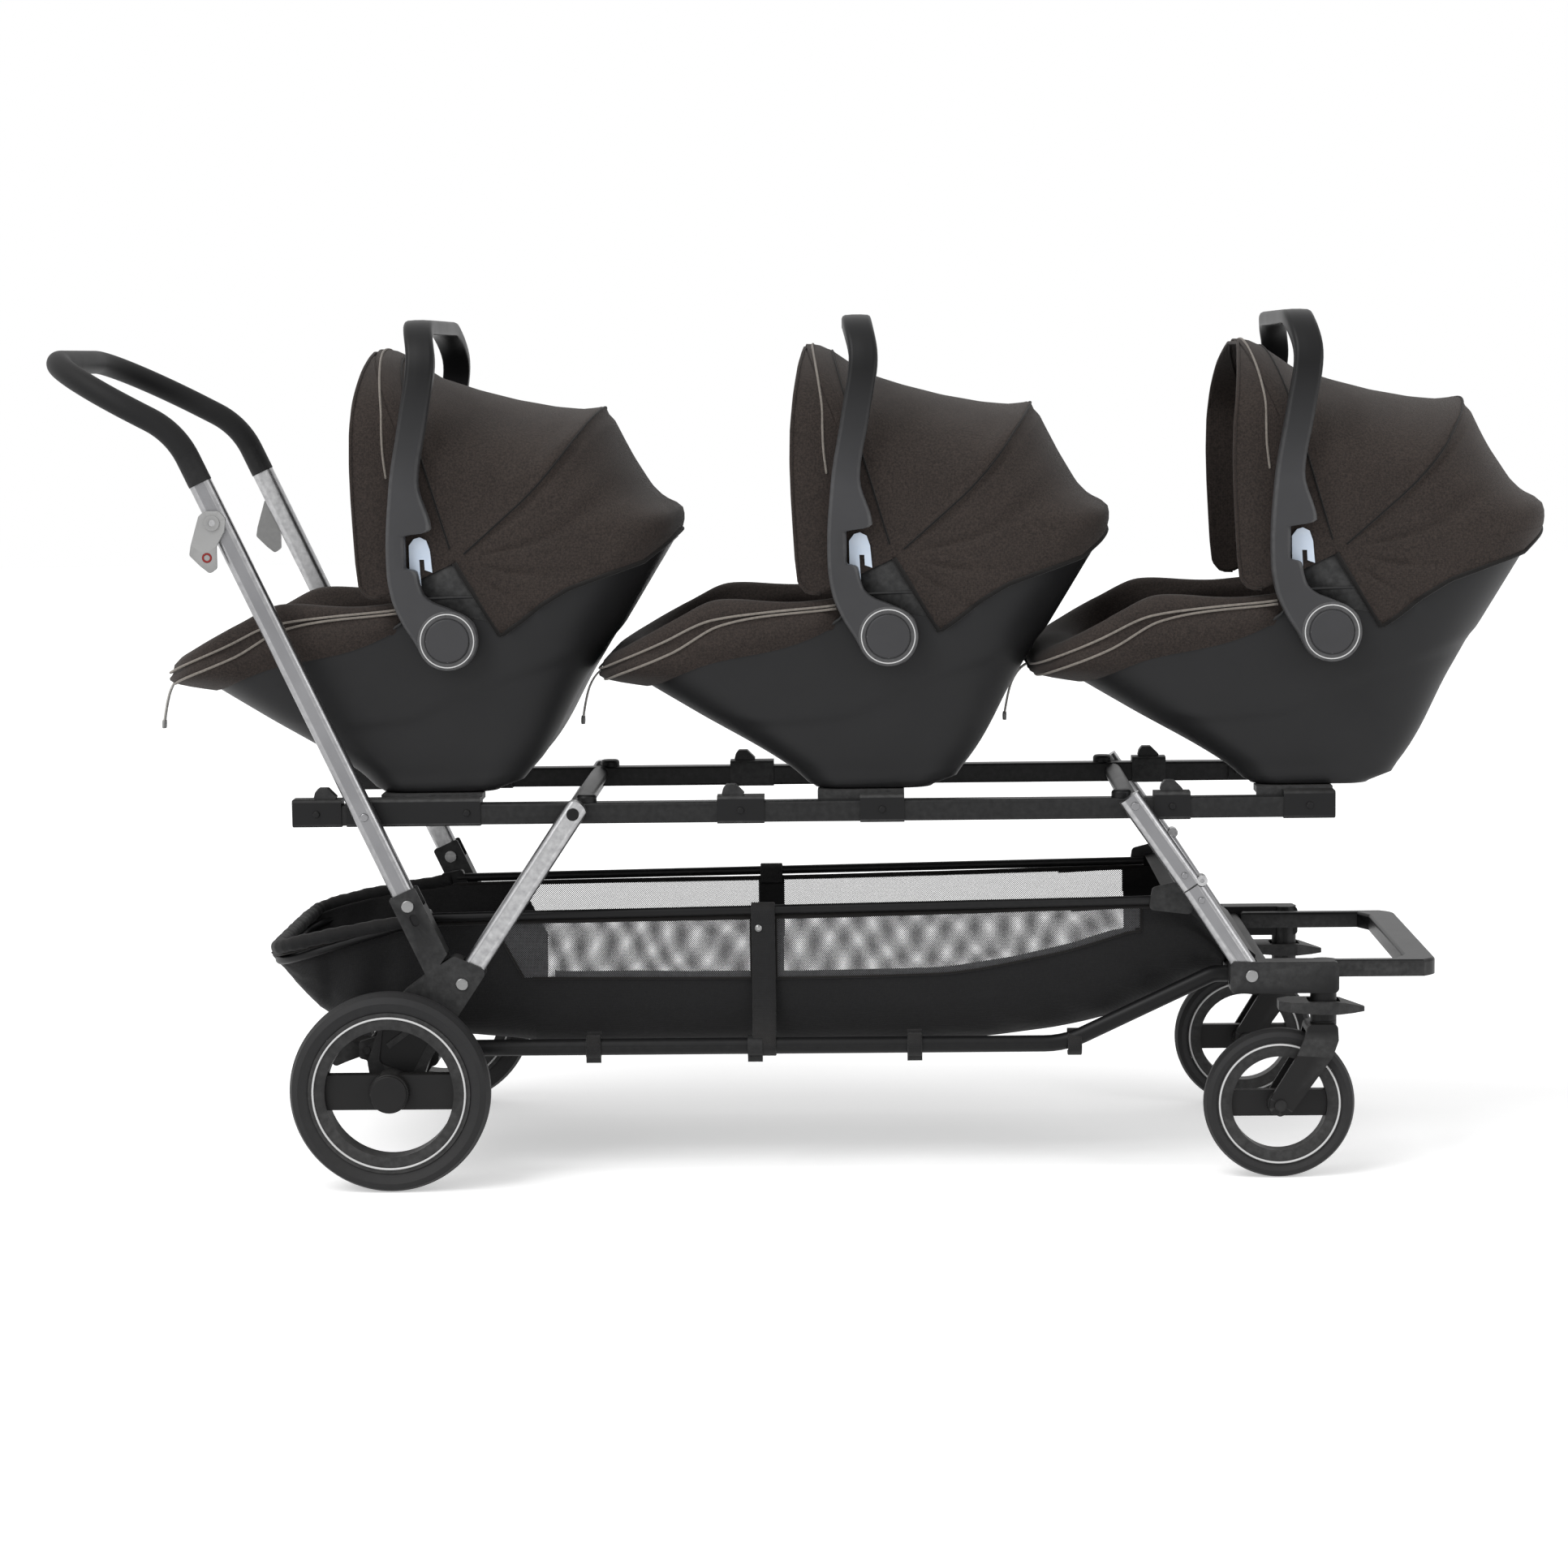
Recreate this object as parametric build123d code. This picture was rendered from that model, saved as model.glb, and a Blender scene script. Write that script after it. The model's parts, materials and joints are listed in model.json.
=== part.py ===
from build123d import *
import math
import os

# Triple stroller: a tandem frame that carries three infant seats in a row.
# Millimetres, +X is the front, +Y the left side, +Z up, the ground is z = 0.
# The origin lies on the ground under the middle of the overall size.

# Clearances
RUNNING = 0.05      # radial, pin in its bore
SOFT = 0.3          # soft or resting pieces beside their neighbours
SLIDE = 1.0         # moving pieces that pass each other

# Planes of the frame, measured from the middle to the side
LEG_Y = 232.0       # middle of the handle tubes, diagonal legs and front legs
LEG_THICK = 21.0    # across the frame
LEG_WIDTH = 27.0    # along the frame
LEG_CORNER = 8.0
RAIL_Y = 203.0
RAIL_SIZE = 25.0
RAIL_WALL = 2.0
RAIL_CORNER = 3.0
CHEEK = 3.8         # wall of a bracket beside a leg
BRACKET_IN = LEG_Y - LEG_THICK / 2 - CHEEK - SOFT
BRACKET_OUT = LEG_Y + LEG_THICK / 2 + CHEEK + SOFT
BOLT_R = 5.0
BOLT_HEAD_R = 7.5
BOLT_HEAD = 3.0

# Side view points of the frame (x, z)
SOCKET_BOLT = (-467.2, 338.1)
GRIP_END = (-703.5, 844.5)
BRACKET_BOLT = (-404.0, 243.6)
REAR_LEG_BOLT = (-268.0, 446.4)
FRONT_LEG_BOLT = (400.5, 450.0)
FRONT_LEG_SPLIT = (468.5, 352.4)
HOUSING_BOLT = (538.2, 245.8)
RELEASE_BOLT = (-688.2, 798.0)
HANDLE_FOLD_DEG = 60.0
KNEE_R = 6.5
KNEE_PIN_R = 2.5
RIVET_UP = 118.0
FOLD_DEG = 24.0          # ends before the rails meet the rear brackets

# Rails and what sits on them
RAIL_Z = 444.4
RAIL_REAR = -604.0
RAIL_FRONT = 637.0
SEAT_PITCH = 526.0
SLEEVE_LOW = 430.5
SLEEVE_TOP = 463.9
SLEEVE_WALL = 2.0
CAP_END = 3.4       # wall that closes a sleeve at the rail's end
LEDGE_REAR = -503.0
LEDGE_FRONT = (-381.0, 127.0 - SEAT_PITCH, 640.0 - 2 * SEAT_PITCH)
HOOK_REAR = (-568.0, -78.0 - SEAT_PITCH, 446.0 - 2 * SEAT_PITCH)
SLEEVES = (
    (RAIL_REAR - CAP_END, RAIL_REAR + 56.0),
    (LEDGE_REAR - 39.0, LEDGE_FRONT[0]),
    (HOOK_REAR[1] + SEAT_PITCH - 19.0, HOOK_REAR[1] + SEAT_PITCH + 37.4),
    (LEDGE_REAR + SEAT_PITCH + 51.0, LEDGE_FRONT[1] + SEAT_PITCH),
    (HOOK_REAR[2] + 2 * SEAT_PITCH - 21.4, HOOK_REAR[2] + 2 * SEAT_PITCH + 22.0),
    (RAIL_FRONT - 58.0, RAIL_FRONT + CAP_END),
)
LEDGE_IN = 150.0
LEDGE_THICK = 8.0
SCREW_IN = 16.0
SCREW_HEAD_R = 4.0
CROSS_TUBE_R = 11.0
KNOB_R = 12.0
KNOB_HIGH = 9.0

# Rear wheels and axle
REAR_WHEEL_R = 120.0
REAR_AXLE = (-489.1, 120.0)
REAR_WHEEL_Y = 275.0
REAR_TYRE_WIDTH = 40.0
REAR_AXLE_R = 6.0
REAR_RIM_WIDTH = 32.0
AXLE_BEAM = (-516.0, -438.0, 138.0, 178.0)
AXLE_BEAM_Y = 212.0

# Front casters
FRONT_WHEEL_R = 90.0
FRONT_AXLE = (572.1, 90.0)
FRONT_WHEEL_Y = 228.0
FRONT_TYRE_WIDTH = 30.0
FRONT_AXLE_R = 4.0
FRONT_RIM_WIDTH = 22.0
HUB_PROUD = 3.0
FRONT_HUB_HALF = FRONT_RIM_WIDTH / 2 + HUB_PROUD
SWIVEL_X = 625.0
POST_R = 15.7
POST_LOW = 190.0
HOUSING = (512.9, 641.9, 224.5, 262.4)
STEM_R = 8.0
LOCK_Z = 207.0

# Lower chassis
LOWER_TUBE_Y = 188.0
BRAKE_PIVOT = (-526.0, 158.0)
BRAKE_SHAFT_R = 5.0
BRAKE_LUG_Y = 204.0
LOWER_TUBE_R = 10.0
LOWER_TUBE_Z = 156.0
CLIP_X = (-252.0, -56.0, 137.0, 330.0)
RIM_Y = 181.0
RIM_R = 5.5
RIM_REAR = (-455.0, 315.0)
RIM_FRONT = (438.5, 329.0)
BASKET_HALF = RIM_Y - RIM_R - SOFT
BASKET_WALL = 3.0
BASKET_BOTTOM = 168.0

# Push handle
GRIP_R = 14.5
HANDLE_CORE_R = 10.0
HANDLE_BEND_UP = 625.0
HANDLE_TIP = (-892.0, 989.0)
HANDLE_BEND_R = 100.0
HANDLE_CORNER_R = 130.0

# Infant seat, drawn where the rearmost of the three stands
SHELL_BOTTOM = 466.5
SHELL_WALL = 5.0
SHELL_HALF = 190.0
LINER_THICK = 14.0
PAD_SECTIONS = ((0, 60, 2), (0.2, 80, 13), (0.46, 80, 13), (0.5, 77, 7),
                (0.54, 80, 13), (0.8, 80, 13), (1, 58, 2))
HUB = (-416.3, 652.9)
HUB_R = 36.0
HUB_PIN_R = 10.0
BUTTON_R = 26.0
BUTTON_TRAVEL = 3.0
CANOPY_WALL = 3.0
CANOPY_HALF = SHELL_HALF + CANOPY_WALL + SOFT
CANOPY_SEAM = 1.2   # how proud the canopy's sewn folds stand
ARM_IN = CANOPY_HALF + CANOPY_SEAM + 2.0
ARM_OUT = ARM_IN + 19.5
HANDLE_TOP = 1034.0
HANDLE_THICK = 17.0
CANOPY_PIVOT = (-408.6, 744.8)
CANOPY_REAR = -145.0
BOW_R = 255.0
BOW_ROD_R = 3.0
BOW_TILT = 22.0
BOW_Y = SHELL_HALF - 8.5

NODES = {}


def keep(node, *shapes):
    """Note the solids that make up one named piece."""
    solids = []
    for shape in shapes:
        solids.extend(shape.solids())
    NODES[node] = solids


def both(shape):
    """A piece for the left side and its mirror image for the right."""
    return [shape, mirror(shape, about=Plane.XZ)]


def outline(points, radius=0.0):
    """A face in the side view through the given (x, z) points."""
    face = make_face(Polyline(*points, close=True))
    if radius:
        face = fillet(face.vertices(), radius)
    return face


def across(face, y_low, y_high):
    """A side view face made solid from y_low to y_high."""
    return extrude(Plane.XZ.offset(-y_low) * face, amount=-(y_high - y_low))


def disc(x, z, radius, y_low, y_high):
    """A round solid whose axis runs across the frame."""
    return across(Pos(x, z) * Circle(radius), y_low, y_high)


def block(x0, x1, y0, y1, z0, z1, corner=0.0):
    """A box between limits, its long edges rounded along X."""
    face = Rectangle(y1 - y0, z1 - z0) if not corner else RectangleRounded(y1 - y0, z1 - z0, corner)
    plane = Plane(origin=(x0, (y0 + y1) / 2, (z0 + z1) / 2), x_dir=(0, 1, 0), z_dir=(1, 0, 0))
    return extrude(plane * face, amount=x1 - x0)


def flat_bar(start, end, y, grow_start=0.0, grow_end=0.0):
    """A flat oval tube between two side view points, with rounded ends."""
    run = Vector(end[0] - start[0], 0, end[1] - start[1])
    way = run.normalized()
    plane = Plane(
        origin=Vector(start[0], y, start[1]) - way * grow_start,
        x_dir=(0, 1, 0),
        z_dir=way,
    )
    section = plane * RectangleRounded(LEG_THICK, LEG_WIDTH, LEG_CORNER)
    return extrude(section, amount=run.length + grow_start + grow_end)


def bent_path(points, radii):
    """Straight runs joined by tangent arcs, one radius for each inner point."""
    points = [Vector(*p) for p in points]
    edges = []
    here = points[0]
    for before, corner, after, radius in zip(points, points[1:], points[2:], radii):
        way_in = (corner - before).normalized()
        way_out = (after - corner).normalized()
        half_turn = way_in.get_angle(way_out) / 2
        reach = radius * math.tan(math.radians(half_turn))
        start = corner - way_in * reach
        end = corner + way_out * reach
        inward = (way_out - way_in).normalized()
        sagitta = radius / math.cos(math.radians(half_turn)) - radius
        edges.append(Line(here, start))
        edges.append(ThreePointArc(start, corner + inward * sagitta, end))
        here = end
    edges.append(Line(here, points[-1]))
    return Wire(edges)


def round_tube(path, radius, bore=0.0):
    """A round rod, or a tube if it has a bore, swept along a path."""
    start = path.position_at(0)
    plane = Plane(origin=start, z_dir=path.tangent_at(0))
    face = plane * Circle(radius)
    if bore:
        face = face - plane * Circle(bore)
    return sweep(face, path=path)


def side_angle(start, end):
    """Direction in the side view, in degrees up from +X."""
    return math.degrees(math.atan2(end[1] - start[1], end[0] - start[0]))


def ahead(point, angle, length, aside=0.0):
    """The side view point at a length and sideways step from another."""
    turn = math.radians(angle)
    return (
        point[0] + length * math.cos(turn) - aside * math.sin(turn),
        point[1] + length * math.sin(turn) + aside * math.cos(turn),
    )


def swing_gap(pivot, angle_a, angle_b, length):
    """The side view space that a leg sweeps between two directions, angle_a the higher."""
    half = LEG_WIDTH / 2 + SLIDE
    fan = outline([
        pivot,
        ahead(pivot, angle_a, 0, half),
        ahead(pivot, angle_a, length, half),
        ahead(pivot, (angle_a + angle_b) / 2, 1.3 * length),
        ahead(pivot, angle_b, length, -half),
        ahead(pivot, angle_b, 0, -half),
    ])
    return fan + Pos(*pivot) * Circle(half)


def leg_gap(face):
    """The slot for a leg between the two cheeks of a bracket."""
    half = LEG_THICK / 2 + SOFT
    return across(face, LEG_Y - half, LEG_Y + half)


def bolt_head(point, y_face, radius=BOLT_HEAD_R):
    """A domed head on a face that looks outwards."""
    head = disc(*point, radius, y_face, y_face + BOLT_HEAD)
    rim = head.edges().group_by(Axis.Y)[-1]
    return fillet(rim, BOLT_HEAD * 0.5)


# Chassis


def rear_axle():
    """Cross beam with the axle rod and the two end blocks that hold it."""
    x0, x1, z0, z1 = AXLE_BEAM
    beam = Pos((x0 + x1) / 2, 0, (z0 + z1) / 2) * Box(x1 - x0, 2 * AXLE_BEAM_Y, z1 - z0)
    beam = fillet(beam.edges().filter_by(Axis.Y), 9)
    for x in (x0 + 20, x1 - 20):
        beam -= Pos(x, 0, z0) * Box(14, 2 * AXLE_BEAM_Y - 60, 12)
    end_block = outline([
        (x0 + 4, z0 + 6), (REAR_AXLE[0] - 18, REAR_AXLE[1] - 16),
        (REAR_AXLE[0] + 18, REAR_AXLE[1] - 16), (x1 - 4, z0 + 6),
    ], 5)
    lug = outline([(x0 + 6, 141), (-535, 148), (-535, 168), (x0 + 6, 175)], 4)
    lug = across(lug, BRAKE_LUG_Y - 4, BRAKE_LUG_Y + 4)
    lug -= disc(*BRAKE_PIVOT, BRAKE_SHAFT_R + RUNNING, BRAKE_LUG_Y - 5, BRAKE_LUG_Y + 5)
    for part in both(across(end_block, AXLE_BEAM_Y - 46, AXLE_BEAM_Y)) + both(lug):
        beam += part
    rod = disc(*REAR_AXLE, REAR_AXLE_R, -REAR_WHEEL_Y - 14, REAR_WHEEL_Y + 14)
    hub_face = REAR_WHEEL_Y - REAR_RIM_WIDTH / 2 - HUB_PROUD
    for collar in both(disc(*REAR_AXLE, 11, BRACKET_OUT + SOFT, hub_face - SOFT)):
        rod += collar
    return beam + rod


def rear_brackets():
    """Moulded side brackets that carry the axle, the diagonal leg and the handle socket."""
    low, high = BRACKET_IN, BRACKET_OUT
    body = outline([
        (-498, 212), (-472.4, 236.7), (-440, 261), (-413.1, 277.8), (-373.1, 259.2),
        (-408.5, 206.3), (-446, 150), (-464, 100), (-512, 100), (-520, 150),
    ], 8)
    leg_angle = side_angle(BRACKET_BOLT, REAR_LEG_BOLT)
    bracket = across(body, low, high)
    bracket -= leg_gap(swing_gap(BRACKET_BOLT, leg_angle, leg_angle - FOLD_DEG - 1, 90))
    up = side_angle(SOCKET_BOLT, GRIP_END)
    half = LEG_WIDTH / 2 + CHEEK
    sleeve = outline([
        ahead(SOCKET_BOLT, up, -92, half), ahead(SOCKET_BOLT, up, 17, half),
        ahead(SOCKET_BOLT, up, 17, -half), ahead(SOCKET_BOLT, up, -72, -half),
    ], 3)
    socket = across(sleeve, low, high)
    socket -= leg_gap(swing_gap(SOCKET_BOLT, up, up - HANDLE_FOLD_DEG - 1, 60))
    socket -= across(
        outline([
            ahead(SOCKET_BOLT, up, -26, 4.5), ahead(SOCKET_BOLT, up, -11, 4.5),
            ahead(SOCKET_BOLT, up, -11, -4.5), ahead(SOCKET_BOLT, up, -26, -4.5),
        ], 4), high - 2, high + 1)
    bracket += socket
    bracket -= disc(*REAR_AXLE, REAR_AXLE_R + RUNNING, low - 1, high + 1)
    for pin in (BRACKET_BOLT, SOCKET_BOLT):
        bracket -= disc(*pin, BOLT_R, low - 1, high + 1)
    # Lightening pocket with two ribs on the outside of the arm to the axle
    pocket = outline([(-500, 196), (-462, 222), (-434, 196), (-468, 132), (-506, 150)], 8)
    bracket -= across(pocket, high - 3, high + 1)
    bracket += across(outline([(-497, 172), (-447, 208), (-443, 203), (-493, 166)]), high - 4, high)
    bridge = across(body & Pos(-470, 165) * Rectangle(60, 52), AXLE_BEAM_Y, low)
    return both(bracket + bridge)


def lower_side_tubes():
    """Lower side tubes, bent up to the front beam, with the clips that hold the basket."""
    path = bent_path(
        [
            (AXLE_BEAM[1], LOWER_TUBE_Y, LOWER_TUBE_Z), (318, LOWER_TUBE_Y, LOWER_TUBE_Z),
            (497, LOWER_TUBE_Y, 240), (514, LOWER_TUBE_Y, 240),
        ],
        [110, 30],
    )
    tube = round_tube(path, LOWER_TUBE_R)
    return both(tube)


def basket_clips():
    """Snap clips round the lower tubes."""
    clips = []
    for x in CLIP_X[:3]:
        ring = extrude(
            Plane(origin=(x - 9, LOWER_TUBE_Y, LOWER_TUBE_Z), x_dir=(0, 1, 0), z_dir=(1, 0, 0))
            * (Circle(LOWER_TUBE_R + 3) - Circle(LOWER_TUBE_R + RUNNING)), amount=18)
        tab = Pos(x, LOWER_TUBE_Y + 2, LOWER_TUBE_Z - LOWER_TUBE_R - 5) * Box(18, 4, 8)
        clips += both(ring + tab)
    return clips


def front_beam():
    """Cross beam between the caster housings."""
    beam = block(514, 566, -BRACKET_IN, BRACKET_IN, 226, 254)
    beam = fillet(beam.edges().filter_by(Axis.Y), 8)
    for y in (-120, 0, 120):
        beam -= Pos(540, y, 226) * Box(34, 96, 24)
    return beam


def front_crossmember():
    """Front beam with a caster housing at each end: leg clevis at the back, swivel post in front."""
    x0, x1, z0, z1 = HOUSING
    low, high = BRACKET_IN, BRACKET_OUT
    body = fillet(make_face(Polyline((x0, z0), (x1, z0), (x1, z1), (x0, z1), close=True)).vertices(), 6)
    housing = across(body, low, high)
    leg_angle = side_angle(HOUSING_BOLT, FRONT_LEG_SPLIT)
    housing -= leg_gap(
        swing_gap(HOUSING_BOLT, leg_angle + LOWER_LEG_TURN + 1, leg_angle, 60)
    )
    housing -= disc(*HOUSING_BOLT, BOLT_R, low - 1, high + 1)
    post = Pos(SWIVEL_X, FRONT_WHEEL_Y, (POST_LOW + z1) / 2) * Cylinder(POST_R, z1 - POST_LOW)
    housing += post
    housing -= Pos(SWIVEL_X, FRONT_WHEEL_Y, POST_LOW + 24) * Cylinder(STEM_R + RUNNING, 50)
    for side in (1, -1):
        y = FRONT_WHEEL_Y + side * (POST_R + 1.5)
        housing += Pos(SWIVEL_X, y, LOCK_Z) * Rot(90, 0, 0) * Cylinder(3, 4.6)
    beam = front_beam()
    for side in both(housing):
        beam += side
    return beam


def footrest_bumper():
    """Loop in front of the casters, with the boxes that it slides into."""
    y_arm, z_mid, tall = 200.0, 248.0, 20.0
    outer = make_face(Polyline((566, -y_arm - 9), (748, -y_arm - 9), (764, -y_arm + 8),
                               (764, y_arm - 8), (748, y_arm + 9), (566, y_arm + 9), close=True))
    outer = fillet(outer.vertices().group_by(Axis.X)[-1], 30)
    inner = make_face(Polyline((560, -y_arm + 9), (716, -y_arm + 9), (728, -y_arm + 34),
                               (728, y_arm - 34), (716, y_arm - 9), (560, y_arm - 9), close=True))
    loop = extrude(Plane.XY.offset(z_mid - tall / 2) * (outer - inner), amount=tall)
    loop = fillet(loop.edges().group_by(Axis.Z)[-1], 4)
    loop -= Pos(746, 0, z_mid - tall / 2) * Box(14, 2 * y_arm - 120, 16)
    return loop


def basket_rim_tubes():
    """Long rim tubes and the rear hoop of the basket, with the stubs to the sockets."""
    side = round_tube(
        bent_path([(RIM_REAR[0], RIM_Y, RIM_REAR[1]), (0, RIM_Y, 322),
                   (RIM_FRONT[0], RIM_Y, RIM_FRONT[1])], [4000]), RIM_R)
    hoop = round_tube(
        bent_path([
            (-468, RIM_Y, 309), (-560, RIM_Y, 283), (-643, RIM_Y - 12, 256),
            (-643, -RIM_Y + 12, 256), (-560, -RIM_Y, 283), (-468, -RIM_Y, 309),
        ], [300, 70, 70, 300]), RIM_R)
    lug = Pos(-462, (RIM_Y + 217.4) / 2, 316) * Rot(90, 0, 0) * Cylinder(5.0, 217.4 - RIM_Y)
    plate = across(outline([(-476, 300), (-476, 320), (-448, 326), (-440, 308)], 4), RIM_Y - 5, RIM_Y + 7)
    joined = hoop
    for part in both(side) + both(lug) + both(plate):
        joined += part
    return joined


def basket_side():
    """Side view outline of the basket."""
    return outline([
        (-660, 244), (-560, 276.5), (-468, 302.5), (-455, 309), (0, 315.6), (438, 322.4),
        (468, 300), (492, 258), (452, 226), (340, 187), (150, BASKET_BOTTOM),
        (-420, BASKET_BOTTOM), (-434, AXLE_BEAM[3] + 1), (-518, AXLE_BEAM[3] + 2), (-545, 190), (-600, 216),
    ])


def basket():
    """Fabric basket: an open tub with thin walls, hung below the rim tubes."""
    def tub(inset):
        half_top = BASKET_HALF - inset
        half_low = BASKET_HALF - 22 - inset
        low = BASKET_BOTTOM - 10 + inset
        section = make_face(Polyline(
            (-half_top, 345), (-half_top, 250), (-half_low, low), (half_low, low),
            (half_top, 250), (half_top, 345), close=True))
        section = fillet(section.vertices().group_by(Axis.Y)[0], 34 - inset)
        return extrude(Plane(origin=(-700, 0, 0), x_dir=(0, 1, 0), z_dir=(1, 0, 0)) * section, amount=1300)

    plan_outer = make_face(Polyline((-648, -170), (-560, -BASKET_HALF), (500, -BASKET_HALF),
                                    (500, BASKET_HALF), (-560, BASKET_HALF), (-648, 170), close=True))
    plan_outer = fillet(plan_outer.vertices().group_by(Axis.X)[0], 70)
    plan_inner = offset(plan_outer, -BASKET_WALL)
    side = basket_side()
    inner_side = outline([
        (-654, 400), (-654, 246), (-598, 219), (-544, 193), (-518, AXLE_BEAM[3] + 2 + BASKET_WALL),
        (-432, AXLE_BEAM[3] + 1 + BASKET_WALL), (-418, BASKET_BOTTOM + BASKET_WALL),
        (150, BASKET_BOTTOM + BASKET_WALL), (339, 190), (450, 229), (487, 259), (463, 301),
        (435, 330), (435, 400),
    ])
    outer = across(side, -200, 200) & tub(0) & extrude(plan_outer, amount=400)
    inner = across(inner_side, -200, 200) & tub(BASKET_WALL) & extrude(plan_inner, amount=420)
    return outer - inner


def basket_front_panel():
    """Slanted panel from the rim down to the front beam, with its gussets."""
    face = outline([(440, 336), (456, 340), (548, 262), (548, 254.3), (538, 254.3), (452, 329)])
    half = RIM_Y + RIM_R
    panel = across(face, -half, half)
    angle = side_angle((456, 340), (548, 262))
    for offset_along in (26, 52):
        spot = ahead((450, 335), angle, offset_along)
        panel -= Pos(spot[0], 0, spot[1]) * Rot(0, -angle, 0) * Box(9, 2 * RIM_Y - 90, 40)
    gusset = across(outline([(420, 318), (424, 345), (452, 352), (476, 326), (470, 312)], 6),
                    half, half + 3)
    panel += gusset
    panel += mirror(gusset, about=Plane.XZ)
    return panel


def brake_pedal():
    """Brake bar with a rounded pedal at each end."""
    shaft = disc(*BRAKE_PIVOT, BRAKE_SHAFT_R, -BRAKE_LUG_Y - 6, BRAKE_LUG_Y + 6)
    arm = outline([(-530, 150), (-521, 166), (-545, 168), (-566, 160), (-574, 148),
                   (-566, 136), (-552, 142)], 5)
    pedal = across(arm, BRAKE_LUG_Y - 46, BRAKE_LUG_Y - 4 - SLIDE)
    joined = shaft
    for part in both(pedal):
        joined += part
    return joined


def frame_bolts():
    """Pivot pins of the chassis with their heads and nuts."""
    low, high = BRACKET_IN, BRACKET_OUT
    bolts = []
    for point, nut in ((BRACKET_BOLT, True), (SOCKET_BOLT, True), (HOUSING_BOLT, False)):
        pin = disc(*point, BOLT_R - RUNNING, low, high) + bolt_head(point, high)
        if nut:
            pin += disc(*point, BOLT_HEAD_R, low - 2.2, low)
        bolts += both(pin)
    return bolts


# Folding upper frame


def rear_legs():
    """Diagonal legs from the brackets up to the rails."""
    leg = flat_bar(BRACKET_BOLT, REAR_LEG_BOLT, LEG_Y, 0, 4)
    round_end = disc(*BRACKET_BOLT, LEG_WIDTH / 2, LEG_Y - LEG_THICK / 2, LEG_Y + LEG_THICK / 2)
    top_end = disc(*REAR_LEG_BOLT, LEG_WIDTH / 2 + 2, LEG_Y - LEG_THICK / 2, LEG_Y + LEG_THICK / 2)
    keep_low = flat_bar(BRACKET_BOLT, REAR_LEG_BOLT, LEG_Y, 14, 0)
    leg = leg + (keep_low & round_end)
    leg += flat_bar(BRACKET_BOLT, REAR_LEG_BOLT, LEG_Y, 0, 20) & top_end
    for pin in (BRACKET_BOLT, REAR_LEG_BOLT):
        leg -= disc(*pin, BOLT_R + RUNNING, LEG_Y - 20, LEG_Y + 20)
    return both(leg)


def side_rails():
    """Square rail tubes, drilled for the pivot pins of the rear legs."""
    z0, z1 = RAIL_Z - RAIL_SIZE / 2, RAIL_Z + RAIL_SIZE / 2
    half = RAIL_SIZE / 2
    rail = block(RAIL_REAR, RAIL_FRONT, RAIL_Y - half, RAIL_Y + half, z0, z1, RAIL_CORNER)
    inner = half - RAIL_WALL
    rail -= block(RAIL_REAR - 1, RAIL_FRONT + 1, RAIL_Y - inner, RAIL_Y + inner,
                  RAIL_Z - inner, RAIL_Z + inner, RAIL_CORNER - 1.5)
    rail -= disc(*REAR_LEG_BOLT, BOLT_R + RUNNING, RAIL_Y - 20, RAIL_Y + 20)
    return both(rail)


def rail_fittings():
    """Sleeves and end caps round the rails, with their screws."""
    half_out = RAIL_SIZE / 2 + SLEEVE_WALL
    half_in = RAIL_SIZE / 2 + RUNNING
    parts = []
    for start, end in SLEEVES:
        sleeve = block(start, end, RAIL_Y - half_out, RAIL_Y + half_out, SLEEVE_LOW, SLEEVE_TOP, 4)
        is_cap = start < RAIL_REAR or end > RAIL_FRONT
        bore_start = RAIL_REAR - RUNNING if start < RAIL_REAR else start - 1
        bore_end = RAIL_FRONT + RUNNING if end > RAIL_FRONT else end + 1
        sleeve -= block(bore_start, bore_end, RAIL_Y - half_in, RAIL_Y + half_in,
                        RAIL_Z - half_in, RAIL_Z + half_in, RAIL_CORNER)
        if is_cap:
            outer_x = start if start < RAIL_REAR else end
            sleeve = fillet(sleeve.faces().sort_by_distance((outer_x, RAIL_Y, RAIL_Z))[0].edges(), 1.5)
        screws = (start + SCREW_IN, end - SCREW_IN) if end - start > 100 else ((start + end) / 2,)
        for x in screws:
            sleeve += bolt_head((x, RAIL_Z + 2), RAIL_Y + half_out, SCREW_HEAD_R)
        parts += both(sleeve)
    return parts


def seat_adapters():
    """Ledges that each seat rests on, and the latch hook beside it."""
    parts = []
    inner = RAIL_Y - RAIL_SIZE / 2 - SLEEVE_WALL
    top = SHELL_BOTTOM - SOFT
    for index, (front, hook_rear) in enumerate(zip(LEDGE_FRONT, HOOK_REAR)):
        along = index * SEAT_PITCH
        start, end, hook_x = LEDGE_REAR + along, front + along, hook_rear + along
        ledge = block(start, end, LEDGE_IN, inner - RUNNING, top - LEDGE_THICK, top)
        web = block(start, end, inner - 6, inner - RUNNING, SLEEVE_LOW + 4, top)
        ledge += web
        for step in (8, (end - start) / 2, end - start - 12):
            ledge += block(start + step, start + step + 4, LEDGE_IN + 10, inner - 3, SLEEVE_LOW + 12, top)
        hook = outline([
            (hook_x - 14, SLEEVE_TOP), (hook_x + 16, SLEEVE_TOP), (hook_x + 10, SLEEVE_TOP + 6),
            (hook_x + 3, SLEEVE_TOP + 13), (hook_x - 8, SLEEVE_TOP + 13), (hook_x - 12, SLEEVE_TOP + 8),
        ], 2)
        parts += both(ledge) + both(across(hook, RAIL_Y - 8, RAIL_Y + 8))
    return parts


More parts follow.
